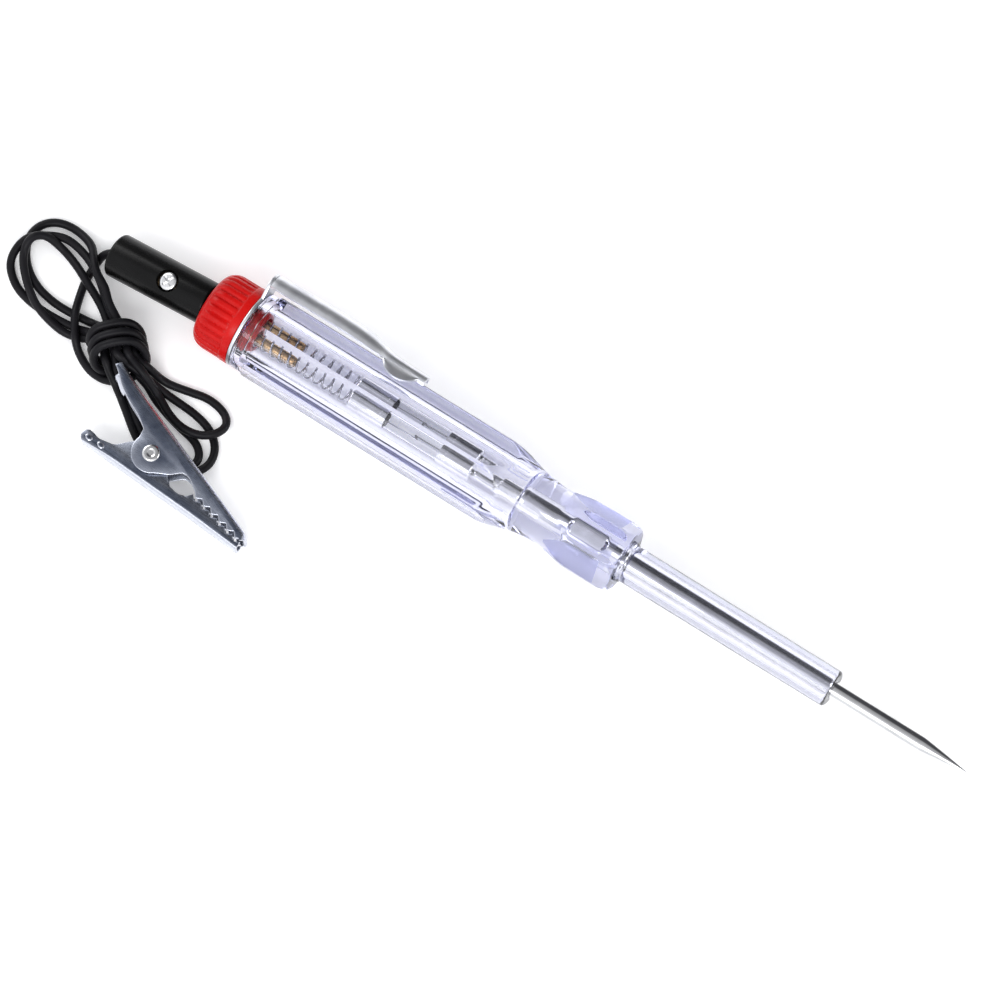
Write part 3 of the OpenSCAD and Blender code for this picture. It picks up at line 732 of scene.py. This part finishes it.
def skin(s, theta):
    """The handle's radius at a station and an angle from the top."""
    if s < HEXAGON_FROM:
        return soft_min(envelope(s), hexagon(theta, COLLAR_FLAT, 0, CORNER_R), 220)
    top = math.cos(theta) > 0.9
    r = hexagon(theta, BODY_FLAT, math.pi / 6, CORNER_R)
    if not top:
        r = soft_min(r, CUT_BACK_R, 400)
    return soft_min(envelope(s), r, 260)


stations = [COLLAR, 81.8, 82.0, 82.3, 82.7, 83.2, 83.8, 84.5, 86, 88, 90]
stations += list(np.arange(91, 116.01, 0.4)) + list(np.arange(118, 169, 4)) + [169.4, 169.8, 169.95]
rings = []


def ring(s, fn):
    rings.append([pen(s, fn(a) * math.cos(a), fn(a) * math.sin(a)) for a in round_angles(AROUND)])


for r in (0, 1.9, 4.0, 5.6):
    ring(COLLAR, lambda a, r=r: r)
for s in stations:
    front_edge = 0.25 * (1 - (s - COLLAR) / 0.3) ** 2 if s < 82 else 0
    rear_edge = 0.12 if s > BODY_END - 0.1 else 0
    ring(s, lambda a, s=s, front=front_edge, rear=rear_edge: skin(s, a) - front - rear)
for s, r in eased([(BODY_END, 8.45), (REAR, 8.45), (REAR, 5.0), (106.0, 5.0), (BORE, 0)],
                  [0, 0.3, 0.25, 1.1, 0], 4):
    ring(s, lambda a, r=r: r)
v, f = rings_mesh(rings, close_ends=False)
piece("clear_handle_shell", v, f, "handle", M_HANDLE, ["clear_handle"], angle=28)

# ---------------------------------------------------------------- probe rod and sleeve
# stations and radii: the point and the round length, the flattened length, then the stepped contact end
front = [(0, 0.0), (0.06, 0.1), (0.2, 0.16), (10.2, 1.9), (10.9, ROD_R)]
front += [(s, ROD_R) for s in np.arange(12, 85, 3)] + [(85.6, ROD_R)]
flattened = [(86.0, 1.85, 2.0), (86.5, 1.36, 2.28), (87, 1.3, 2.3), (93.7, 1.3, 2.3), (94.2, 1.36, 2.28),
             (94.7, 1.85, 2.0)]
rear = [(s, ROD_R) for s in (95.1, 100, 106, 111.6)]
rear += [(111.8, 1.9), (112.1, 1.45), (112.5, 1.35), (116.8, 1.35), (117.05, 1.2), (117.15, 0.9),
         (117.15, 0.0)]
rod = [(s, r, r) for s, r in front] + flattened + [(s, r, r) for s, r in rear]
ROD_AROUND = 72
FLAT_TURN = math.radians(8)


def squarish(u, w, a):
    """A point on a section with half height u and half width w, squarer where it is flattened."""
    e = 2.0 + 3.0 * min(1, max(0, (ROD_R - u) / 0.6)) if w > 2 else 2.0
    c, q = abs(math.cos(a)), abs(math.sin(a))
    r = (c ** e + q ** e) ** (-1 / e)
    x, y = u * r * math.cos(a), w * r * math.sin(a)
    cos_turn, sin_turn = math.cos(FLAT_TURN), math.sin(FLAT_TURN)
    return x * cos_turn + y * sin_turn, y * cos_turn - x * sin_turn


rod_rings = [[pen(s, *squarish(u, w, a)) for a in round_angles(ROD_AROUND)] for s, u, w in rod]
v, f = rings_mesh(rod_rings, close_ends=False)
piece("probe_rod_steel", v, f, "handle", M_ROD, ["probe_rod"])

sleeve = eased([(31.8, 1.99), (31.8, 3.6), (32.2, 4.0), (80.6, 4.05), (80.9, 4.5), (81.62, 4.55),
                (81.66, 4.3),
            (81.66, 1.99)],
           [0.1, 0.5, 0.4, 0.2, 0.25, 0.2, 0.05, 0.1], 3, closed=True)
v, f = revolve(sleeve, 96, loop=True)
piece("probe_sleeve_tube", v, f, "handle", M_SLEEVE, ["probe_sleeve"])

# ---------------------------------------------------------------- lamp
CUP_R = 3.15
for name, flip, length, node in (("lamp_front_cup", False, 8.0, "lamp_front_cap"),
                                 ("lamp_rear_cup", True, 9.0, "lamp_rear_cap")):
    outside = [(0, 0.0), (0, 0.9), (0.18, 1.15), (0.18, 2.5), (0.5, CUP_R)]
    groove = [(length - 1.6, CUP_R), (length - 1.45, 3.1), (length - 1.3, CUP_R)]
    inside = [(length, CUP_R), (length, 2.95), (0.8, 2.95), (0.6, 0.0)]
    prof = eased(outside + groove + inside, [0, 0.12, 0.12, 0.35, 0.3, 0.1, 0.1, 0.1, 0.08, 0.08, 0.3, 0],
                 3)
    prof = [((LAMP_B - s) if flip else (LAMP_A + s), r) for s, r in prof]
    v, f = revolve(prof, 96)
    piece(name, v, f, "handle", M_LAMPCAP, [node])
glass_outside = eased([(120.4, 0.0), (120.4, 1.4), (121.4, 2.85), (143, 2.85), (144, 1.4), (144, 0.0)],
          [0, 0.8, 0.8, 0.8, 0.8, 0], 4)
glass_inside = eased([(143.6, 0.0), (143.6, 1.3), (142.8, 2.42), (121.6, 2.42), (120.9, 1.3), (120.9, 0.0)],
           [0, 0.7, 0.7, 0.7, 0.7, 0], 4)
v, f = merge_meshes([revolve(glass_outside, 72), revolve(glass_inside, 72)])
piece("lamp_glass_tube", v, f, "handle", M_GLASS, ["lamp_glass"], normals=False)
COIL_STEPS, COIL_AT, COIL_R = 160, 131.2, 0.22
coil = []
for i in range(COIL_STEPS + 1):
    part = i / COIL_STEPS
    sag = 0.13 * math.sin(part * TAU)
    coil.append(pen(COIL_AT + sag + COIL_R * math.sin(i * 0.9), -1.5 + 3.0 * part,
                    COIL_R * math.cos(i * 0.9)))
support_1 = [pen(121.5, 1.2, 0.2), pen(125, 1.25, 0.2), pen(129, 1.4, 0), pen(131.2, 1.5, 0)]
support_2 = [pen(142.8, -1.2, -0.2), pen(139, -1.25, -0.2), pen(134, -1.4, 0), pen(131.2, -1.5, 0)]
v, f = merge_meshes([tube(coil, 0.07, 6), tube(catmull(support_1, 5), 0.16, 8),
                     tube(catmull(support_2, 5), 0.16, 8)])
piece("lamp_filament_wires", v, f, "handle", M_FILAMENT, ["lamp_filament"])

# ---------------------------------------------------------------- contact spring, socket, pin
SPRING_TURNS, SPRING_STEPS, SPRING_R, SPRING_WIRE, SPRING_PHASE = 11, 28, 2.25, 0.25, 0.6
start, end = LAMP_B + 0.27, FLANGE - 0.27
pts = []
for i in range(SPRING_TURNS * SPRING_STEPS + 1):
    turn = i / SPRING_STEPS
    s = start + (end - start) * turn / SPRING_TURNS
    a = TAU * turn + SPRING_PHASE
    pts.append(pen(s, SPRING_R * math.cos(a), SPRING_R * math.sin(a)))
v, f = tube(pts, SPRING_WIRE, 10)
spring = piece("contact_spring_coil", v, f, None, M_SPRING, ["contact_spring"])
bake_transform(spring)

socket = eased([(FLANGE, 1.9), (FLANGE, 3.02), (171.58, 3.02), (171.6, 2.85), (180.7, 2.85), (180.7, 1.9)],
               [0.1, 0.15, 0.12, 0.05, 0.2, 0.15], 3, closed=True)
v, f = revolve(socket, 72, loop=True)
piece("brass_socket_tube", v, f, "socket", M_BRASS, ["brass_socket"])

pin = eased([(160.4, 0.0), (160.4, 0.75), (160.2, 1.2), (160.9, 1.74), (162, 1.78), (184.4, 1.78),
             (184.4, 0)],
            [0, 0.1, 0.15, 0.4, 0.5, 0.1, 0], 3)
barrel = eased([(1.2, 0.0), (1.2, 2.62), (14, 2.62), (14, 0.82), (7, 0.82), (7, 0.0)],
               [0, 0.3, 0.2, 0.1, 0.1, 0], 3)
v, f = revolve(pin, 64)
pin_ob = piece("plug_pin_front", v, f, "plug", M_BRASS, ["plug_pin"])
cut_cross(pin_ob, pen, (159, 171.5), 3, 0.16, 0.4)
v, f = revolve(barrel, 64, place=plug)
piece("plug_pin_barrel", v, f, "plug", M_BRASS)

# ---------------------------------------------------------------- screw cap
FLUTES = 28
CAP_AROUND = FLUTES * 14
# the flutes run from one station to the other, and fade out there
FLUTES_FROM, FLUTES_TO, FLUTE_DEPTH = 175.0, 181.4, 0.42
# inside this radius the cap has no flutes
PLAIN_R = 6.5
THREAD_FROM, THREAD_TO, PITCH, THREAD_R = 169.8, 172.0, 1.25, 4.44


def cap_ring(s, radius_at):
    return [pen(s, radius_at(a) * math.cos(a), radius_at(a) * math.sin(a))
            for a in round_angles(CAP_AROUND)]


def fluted(s, r):
    """The cap's radius at an angle round it, at a station where its plain radius is r."""
    ends = min(1.0, max(0.0, (s - FLUTES_FROM) / 0.35)) * min(1.0, max(0.0, (FLUTES_TO - s) / 1.2))

    def radius_at(a):
        w = (a * FLUTES / TAU) % 1.0
        return r - FLUTE_DEPTH * math.exp(-((w - 0.5) / 0.17) ** 2) * ends if r > PLAIN_R else r
    return radius_at


def threaded(s):
    fade = min(1, max(0, (s - THREAD_FROM) / 0.4)) * min(1, max(0, (THREAD_TO - s) / 0.5))

    def radius_at(a):
        w = ((s - THREAD_FROM) / PITCH - a / TAU) % 1.0
        crest = max(0.0, 1 - abs(w - 0.5) / 0.32)
        return THREAD_R + 0.42 * min(1, crest * 1.5) * fade
    return radius_at


prof = [(CAP_F, 4.5), (CAP_F, 8.25), (173.16, 8.4), (173.35, 8.5), (174.6, 8.5), (174.85, 8.48),
        (174.95, 8.4), (175.0, 8.36), (175.1, 8.38)]
prof += [(s, 8.4) for s in (175.2, 175.4, 176, 177, 178, 179)]
prof += [(179.6, 8.36), (180.2, 8.22), (180.7, 8.02), (181.1, 7.8), (181.5, 7.48), (181.8, 7.15),
         (182.05, 6.75), (182.2, 6.3), (182.28, 5.95),
         (CAP_R, 5.6), (182.2, 5.47), (182.0, 5.42), (181.2, 5.42), (180.92, 5.35), (180.9, 5.1),
         (180.9, 2.95), (171.7, 2.95), (171.68, 3.12), (169.7, 3.15), (169.6, 3.25),
         (169.6, 4.3), (169.7, 4.42)]
rings = [cap_ring(s, fluted(s, r)) for s, r in prof]
rings += [cap_ring(s, threaded(s)) for s in np.arange(THREAD_FROM, 172.3, 0.1)]
rings.append(cap_ring(173.0, lambda a: THREAD_R))
v, f = rings_mesh(rings, close_ends=False, loop=True)
piece("screw_cap_fluted", v, f, "cap", M_RED, ["screw_cap"], angle=40)

# ---------------------------------------------------------------- plug shell and screw
shell = eased([(0, 2.7), (0, 4.35), (0.3, 4.62), (23.4, 4.65), (PLUG_LEN, 4.35), (PLUG_LEN, 1.0),
               (15.2, 1.0), (15.2, 2.7)],
              [0.1, 0.3, 0.3, 0.35, 0.3, 0.15, 0.1, 0.1], 4, closed=True)
v, f = revolve(shell, 128, place=plug, loop=True)
shell_ob = piece("plug_shell_black", v, f, "plug", M_BLACK, ["plug_shell"])
SCREW_AT, LEAN = 9.4, math.radians(9)


def at_screw(z, x, y):
    """z along the screw, outwards from the plug's axis; x along the plug; y across it."""
    c, n = math.cos(LEAN), math.sin(LEAN)
    return plug(SCREW_AT + x, z * c + y * n, -z * n + y * c)


v, f = revolve([(2.0, 0), (2.0, 2.35), (4.2, 2.35), (4.9, 2.6), (7, 2.6), (7, 0)], 64, place=at_screw)
cut_away(shell_ob, (v, f))
head = eased([(1.0, 0), (1.0, 1.25), (2.7, 1.25), (2.72, 1.95), (3.95, 1.95), (4.25, 1.5), (4.3, 0)],
             [0, 0.1, 0.05, 0.1, 0.3, 0.5, 0], 4)
v, f = revolve(head, 64, place=at_screw)
screw = piece("plug_clamp_screw_head", v, f, "plug", M_SCREW, ["plug_clamp_screw"])
cut_cross(screw, at_screw, (3.5, 5), 1.35, 0.27, 0.5)

# ---------------------------------------------------------------- pocket clip
def arc_pts(r, h, steps):
    return [(r * math.cos(h * (2 * i / steps - 1)), r * math.sin(h * (2 * i / steps - 1)))
            for i in range(steps + 1)]


def strip(cx, r, h, t=0.6, steps=14):
    """Closed outline of an arched strip, with round edges, as (out, tan) pairs."""
    outer = arc_pts(r, h, steps)
    inner = arc_pts(r - t, h, steps)[::-1]
    mid = r - t / 2
    e1 = (mid * math.cos(h + 0.09), mid * math.sin(h + 0.09))
    e2 = (mid * math.cos(h + 0.09), -mid * math.sin(h + 0.09))
    return [(cx + p[0], p[1]) for p in outer + [e1] + inner + [e2]]


# (station, centre of the arch, its radius, half angle in degrees)
ARM = [(172.24, 9.7, 3.3, 62), (171.9, 9.78, 3.3, 63), (171.2, 9.82, 3.3, 64), (168, 9.85, 3.3, 65),
       (164, 9.95, 3.3, 65), (160, 10.02, 3.3, 65), (156, 10.04, 3.3, 65),
       (152, 9.95, 3.25, 65), (149, 9.75, 3.15, 65), (147.5, 9.6, 3.0, 64), (146, 9.55, 2.7, 62),
       (145, 9.62, 2.3, 64), (144.2, 9.75, 1.95, 72), (143.2, 9.85, 1.7, 82),
       (141.5, 9.88, 1.6, 90), (139, 9.86, 1.55, 92), (136, 9.84, 1.52, 96), (135.15, 9.84, 1.5, 98),
       (135.05, 9.84, 1.44, 98)]
arm_rings = [[clip(s, o, t) for o, t in strip(c, r, math.radians(h))] for s, c, r, h in ARM]
parts = [rings_mesh(arm_rings)]
# a rounded ear on each side of the arm: an arc of EAR_R, EAR_DEPTH deep, in rows from the root to the rim
EAR_AT, EAR_R, EAR_HALF, EAR_DEPTH, EAR_LEAN = 140.75, 4.9, 4.25, 2.75, math.radians(59)
EAR_ROWS, EAR_STEPS = 6, 20
per_row = EAR_STEPS + 1
half_angle = math.asin(EAR_HALF / EAR_R)
edge_angles = [half_angle * (2 * i / EAR_STEPS - 1) for i in range(per_row)]
edge = [(EAR_DEPTH - EAR_R + EAR_R * math.cos(a), EAR_R * math.sin(a)) for a in edge_angles]
for side in (-1, 1):
    rows = []
    for k in range(EAR_ROWS + 1):
        q = k / EAR_ROWS
        # a slight cup, so the ear is a soft curve and not a flat
        lift = 0.15 + 0.18 * math.sin(math.pi * q)
        for x, w in edge:
            u = x * q - 0.35 * (1 - q)
            o = 9.95 - u * math.cos(EAR_LEAN) + lift * math.sin(EAR_LEAN)
            t = 1.45 + u * math.sin(EAR_LEAN) + lift * math.cos(EAR_LEAN)
            rows.append((EAR_AT + w, o, t))
    top = [clip(s, o + 0.45, side * (t + 0.25)) for s, o, t in rows]
    bottom = [clip(s, o, side * t) for s, o, t in rows]
    below = len(top)
    faces = []
    for row in range(EAR_ROWS):
        for k in range(EAR_STEPS):
            a = row * per_row + k
            faces.append((a, a + 1, a + per_row + 1, a + per_row))
            faces.append((below + a + per_row, below + a + per_row + 1, below + a + 1, below + a))
    rim = list(range(per_row)) + [row * per_row + EAR_STEPS for row in range(1, EAR_ROWS + 1)]
    rim += [EAR_ROWS * per_row + k for k in range(EAR_STEPS - 1, -1, -1)]
    rim += [row * per_row for row in range(EAR_ROWS - 1, 0, -1)]
    for a, b in zip(rim, rim[1:] + rim[:1]):
        faces.append((a, below + a, below + b, b))
    parts.append((top + bottom, faces))
v, f = merge_meshes(parts)
piece("pocket_clip_strip", v, f, "clip_arm", M_CLIP, ["pocket_clip_arm"], angle=40)

# the washer: a ring with a tongue that runs out to the arm's shoulder
WASHER_R, WASHER_HOLE, SHOULDER_R, SHOULDER_HALF = 8.5, 5.2, 3.3, 3.0
half_angle = math.asin(SHOULDER_HALF / SHOULDER_R)
outer = [(9.8 + x, y) for x, y in arc_pts(SHOULDER_R, half_angle, 20)]
root_angle = math.asin(SHOULDER_HALF / WASHER_R)
rim_angles = np.linspace(root_angle, TAU - root_angle, 120)
outer += [(WASHER_R * math.cos(a), WASHER_R * math.sin(a)) for a in rim_angles]
hole_angles = [math.atan2(y, x) for x, y in outer]
inner = [(WASHER_HOLE * math.cos(a), WASHER_HOLE * math.sin(a)) for a in hole_angles]


def shrink(q, d):
    r = math.hypot(*q)
    return (q[0] * (r - d) / r, q[1] * (r - d) / r)


# (station, how far in from the outline) over the outer edge and back through the hole
OUTER_LEVELS = ((172.32, 0.14), (172.36, 0.04), (172.45, 0), (172.88, 0), (172.97, 0.04), (173.0, 0.14))
INNER_LEVELS = ((173.0, -0.1), (172.9, 0), (172.4, 0), (172.32, -0.1))
washer_rings = [[clip(s, *shrink(q, d)) for q in outer] for s, d in OUTER_LEVELS]
washer_rings += [[clip(s, *shrink(q, d)) for q in inner] for s, d in INNER_LEVELS]
v, f = rings_mesh(washer_rings, close_ends=False, loop=True)
piece("pocket_clip_washer", v, f, "clip_ring", M_CLIP, ["pocket_clip_ring"], angle=40)

# ---------------------------------------------------------------- alligator clip
def saw(x0, x1, count, y0, depth):
    """Rounded teeth between two stations, as points."""
    p = [(x0 + (x1 - x0) * i / (2 * count), y0 + (i % 2) * depth) for i in range(2 * count + 1)]
    return eased(p, 0.16, 2)


def circle(cx, cy, r, a0, a1, steps):
    """An arc from angle a0 to a1, in degrees, as points."""
    angles = [math.radians(a0 + (a1 - a0) * i / steps) for i in range(steps + 1)]
    return [(cx + r * math.cos(a), cy + r * math.sin(a)) for a in angles]


def inset(back, dy):
    """The back edge moved in behind the fold's rounded corner, and left where it is at its last point."""
    return [(x, y + dy) for x, y in back[:-1]] + [back[-1]]


# each jaw's back edge, then its handle's edge: U for the upper jaw, L for the lower
UPPER_BACK = [(26.6, 1.5), (25.4, 2.45), (18.4, 3.5), (7.9, 4.95), (-2.9, 6.4), (-10, 7.45), (-13.6, 7.95),
      (-18.2, 8.8)]
UPPER_HANDLE = [(-18.9, 7.5), (-17.0, 6.7), (-14.8, 5.35), (-11.4, 4.25), (-7.6, 3.5), (-4.9, 2.4)]
upper = eased(inset(UPPER_BACK, -0.6), [0.3, 0.8, 1, 2, 2, 2, 1, 0.4], 3)
upper += eased(UPPER_HANDLE, [0.4, 1, 1, 1, 1.4, 0.8], 3)
upper += circle(0, 0.2, 4.3, 168, 318, 26)[1:]
upper += eased([(4.4, -1.6), (5.9, -0.5), (7.6, 1.9), (9.4, 2.0), (11.3, 1.2)], 0.7, 3)
upper += saw(12, 26, 6, 0.95, -0.9)
LOWER_BACK = [(26.4, -1.5), (14.5, -3.4), (3.1, -5.5), (-5.2, -7.0), (-12.2, -8.2)]
LOWER_HANDLE = [(-11.4, -5.3), (-9.9, -5.4), (-8.4, -4.7), (-6.8, -4.1), (-5.2, -1.5)]
lower = eased(inset(LOWER_BACK, 0.6), [0.3, 2, 2, 1, 0], 4)
lower += circle(-11.9, -6.75, 1.45, 245, 112, 12)
lower += eased(LOWER_HANDLE, [0, 0.8, 0.8, 0.9, 0.6], 4)
lower += circle(0, 0, 4.2, 190, 20, 22)[1:]
lower += eased([(5.8, -0.9), (7.2, -1.9), (9.7, -1.8), (11.3, -0.9)], 0.7, 3)
lower += saw(12, 26, 6, 0.45, -0.9)


def web(back, z0, z1, inward):
    """The folded back of the sheet: a channel section swept along the back edge."""
    line = [np.array(q, float) for q in eased(back, 1.5, 4)]
    # half the section, as (in from the back edge, in from the plate's face)
    half = [(0, 1.1), (0.05, 0.75), (0.2, 0.42), (0.45, 0.18), (0.75, 0.05), (1.1, 0.0), (1.4, 0.05),
            (1.4, 0.57), (1.0, 0.62), (0.75, 0.85), (0.6, 1.2)]
    section = [(u, z1 - h) for u, h in half] + [(u, z0 + h) for u, h in half[::-1]]
    sections = []
    last = len(line) - 1
    for i, point in enumerate(line):
        d = line[min(i + 1, last)] - line[max(i - 1, 0)]
        d = d / np.linalg.norm(d)
        normal = np.array([-d[1], d[0]])
        if normal[1] * inward < 0:
            normal = -normal
        sections.append([jaw(*(point + normal * u), z) for u, z in section])
    return rings_mesh(sections)


def jaw_piece(name, outline, back, z0, z1, inward, body, node):
    """Two plates and the folded back between them."""
    gap, sheet = 0.03, 0.6
    plates = [plate(outline, z0 + gap, z0 + sheet), plate(outline, z1 - sheet, z1 - gap)]
    verts, faces = merge_meshes(plates + [web(back, z0, z1, inward)])
    piece(name, verts, faces, body, M_ZINC, [node], angle=38)


jaw_piece("alligator_jaw_outer", upper, UPPER_BACK, 0.0, 5.6, -1, "plug", "alligator_upper_jaw")
jaw_piece("alligator_jaw_inner", lower, LOWER_BACK, 0.75, 4.85, 1, "jaw", "alligator_lower_jaw")
# two dimples pressed up in the inner jaw's thumb tab
dimples = []
for cx, cy in ((-11.5, -6.7), (-8.6, -6.1)):
    dimple = [(4.7, 0.0), (4.7, 1.0), (4.86, 0.96), (5.0, 0.8), (5.1, 0.55), (5.14, 0.28), (5.15, 0.0)]
    dimples.append(revolve(dimple, 32, place=lambda h, a, b, cx=cx,
                           cy=cy: jaw(cx + a * 1.15, cy + b * 0.8, h - 0.2)))
v, f = merge_meshes(dimples)
piece("alligator_jaw_dimples", v, f, "jaw", M_ZINC)
v, f = revolve(eased([(-0.05, 0.0), (-0.05, 1.16), (5.6, 1.16), (5.6, 1.85), (5.85, 1.8), (6.03, 1.45),
                      (6.0, 0.9), (5.86, 0.6), (5.84, 0.0)],
                     [0, 0.1, 0.02, 0.1, 0.15, 0.25, 0.25, 0.2, 0], 3), 64, place=lambda s, a,
               b: jaw(a, b, s))
piece("alligator_rivet_head", v, f, "plug", M_SCREW, ["alligator_rivet"])
# its coil round the rivet: from one leg's level up to the other's
WIND_R, WIND_LOW, WIND_RISE, WIND_STEPS = 1.9, 1.95, 1.85, 60
wire_pts = [(-9.5, 6.0, WIND_LOW), (-5.0, 4.05, WIND_LOW)]
for i in range(WIND_STEPS + 1):
    a = math.radians(66 - 852 * i / WIND_STEPS)
    wire_pts.append((WIND_R * math.cos(a), WIND_R * math.sin(a), WIND_LOW + WIND_RISE * i / WIND_STEPS))
wire_pts += [(-4.3, -3.8, 3.8), (-9.0, -5.7, 3.8)]
v, f = tube([jaw(*q) for q in catmull(wire_pts, 3)], 0.3, 10)
wire = piece("alligator_spring_wire", v, f, None, M_SPRING, ["alligator_spring"])
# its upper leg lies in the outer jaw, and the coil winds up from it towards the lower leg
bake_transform(wire)
v, f = revolve(eased([(0, 0.7), (0, 1.1), (0.6, 1.25), (1.5, 1.15), (3.4, 1.25), (4.6, 1.1), (4.6, 0.7)],
                     [0, 0.15, 0.4, 0.4, 0.4, 0.2, 0], 3), 32,
               place=lambda s, a, b: jaw(-17.4 + s * 0.94 - b * 0.34, 7.0 - s * 0.34 - b * 0.94, 2.8 + a))
piece("lead_crimp_sleeve", v, f, "plug", M_ZINC, ["lead_crimp"])

NODES["lead_wire_core"].data.materials.clear()
NODES["lead_wire_core"].data.materials.append(M_COPPER)

# ---------------------------------------------------------------- floor and light
def stage_plane(name, size, loc, mat):
    me = bpy.data.meshes.new(name)
    s = size / 2
    me.from_pydata([(-s, -s, 0), (s, -s, 0), (s, s, 0), (-s, s, 0)], [], [(0, 1, 2, 3)])
    ob = bpy.data.objects.new(name, me)
    ob.location = loc
    bpy.context.scene.collection.objects.link(ob)
    me.materials.append(mat)


m, t, b = new_mat("floor")
b.inputs["Base Color"].default_value = (0.93, 0.93, 0.93, 1)
b.inputs["Roughness"].default_value = 0.9
b.inputs["Specular IOR Level"].default_value = 0.1
b.inputs["Emission Color"].default_value = (1, 1, 1, 1)
b.inputs["Emission Strength"].default_value = 0.22
stage_plane("floor", 8, (0, 0, -0.00005), m)

world = bpy.data.worlds.new("world")
bpy.context.scene.world = world
world.use_nodes = True
wt = world.node_tree
bg = wt.nodes["Background"]
tc = wt.nodes.new("ShaderNodeTexCoord")
# light grey all round, with a dark side towards +Y that gives the metal its dark bands
dot = wt.nodes.new("ShaderNodeVectorMath")
dot.operation = "DOT_PRODUCT"
dot.inputs[1].default_value = (-0.05, 0.82, 0.57)
wt.links.new(tc.outputs["Generated"], dot.inputs[0])
stops = [(0.3, 1.0), (0.62, 0.95), (0.74, 0.5), (0.86, 0.42), (0.925, 0.32), (0.955, 0.1)]
sky = [(0.0, (0.7, 0.71, 0.74))] + [(pos, (v, v * 1.01, v * 1.05)) for pos,
                                    v in stops] + [(1.0, (0.06, 0.06, 0.07))]
half = math_node(wt, "MULTIPLY_ADD", dot.outputs["Value"], 0.5, 0.5)
wt.links.new(ramp(wt, half, sky), bg.inputs["Color"])
bg.inputs["Strength"].default_value = 1.15


def area(name, loc, size, size_y, power, target=(0, 0, 0)):
    d = bpy.data.lights.new(name, "AREA")
    d.shape, d.size, d.size_y, d.energy = "RECTANGLE", size, size_y, power
    o = bpy.data.objects.new(name, d)
    o.location = loc
    o.rotation_mode = "QUATERNION"
    o.rotation_quaternion = (Vector(loc) - Vector(target)).to_track_quat("Z", "Y")
    bpy.context.scene.collection.objects.link(o)


area("key", (0.2, -0.85, 1.1), 0.9, 0.5, 8.0)
area("right_side", (1.25, 0.5, 0.9), 0.8, 0.8, 8.0)
area("left_side", (-1.25, 0.5, 0.9), 0.8, 0.8, 8.0)

bpy.context.scene.view_settings.view_transform = "Standard"
bpy.context.scene.view_settings.look = "None"
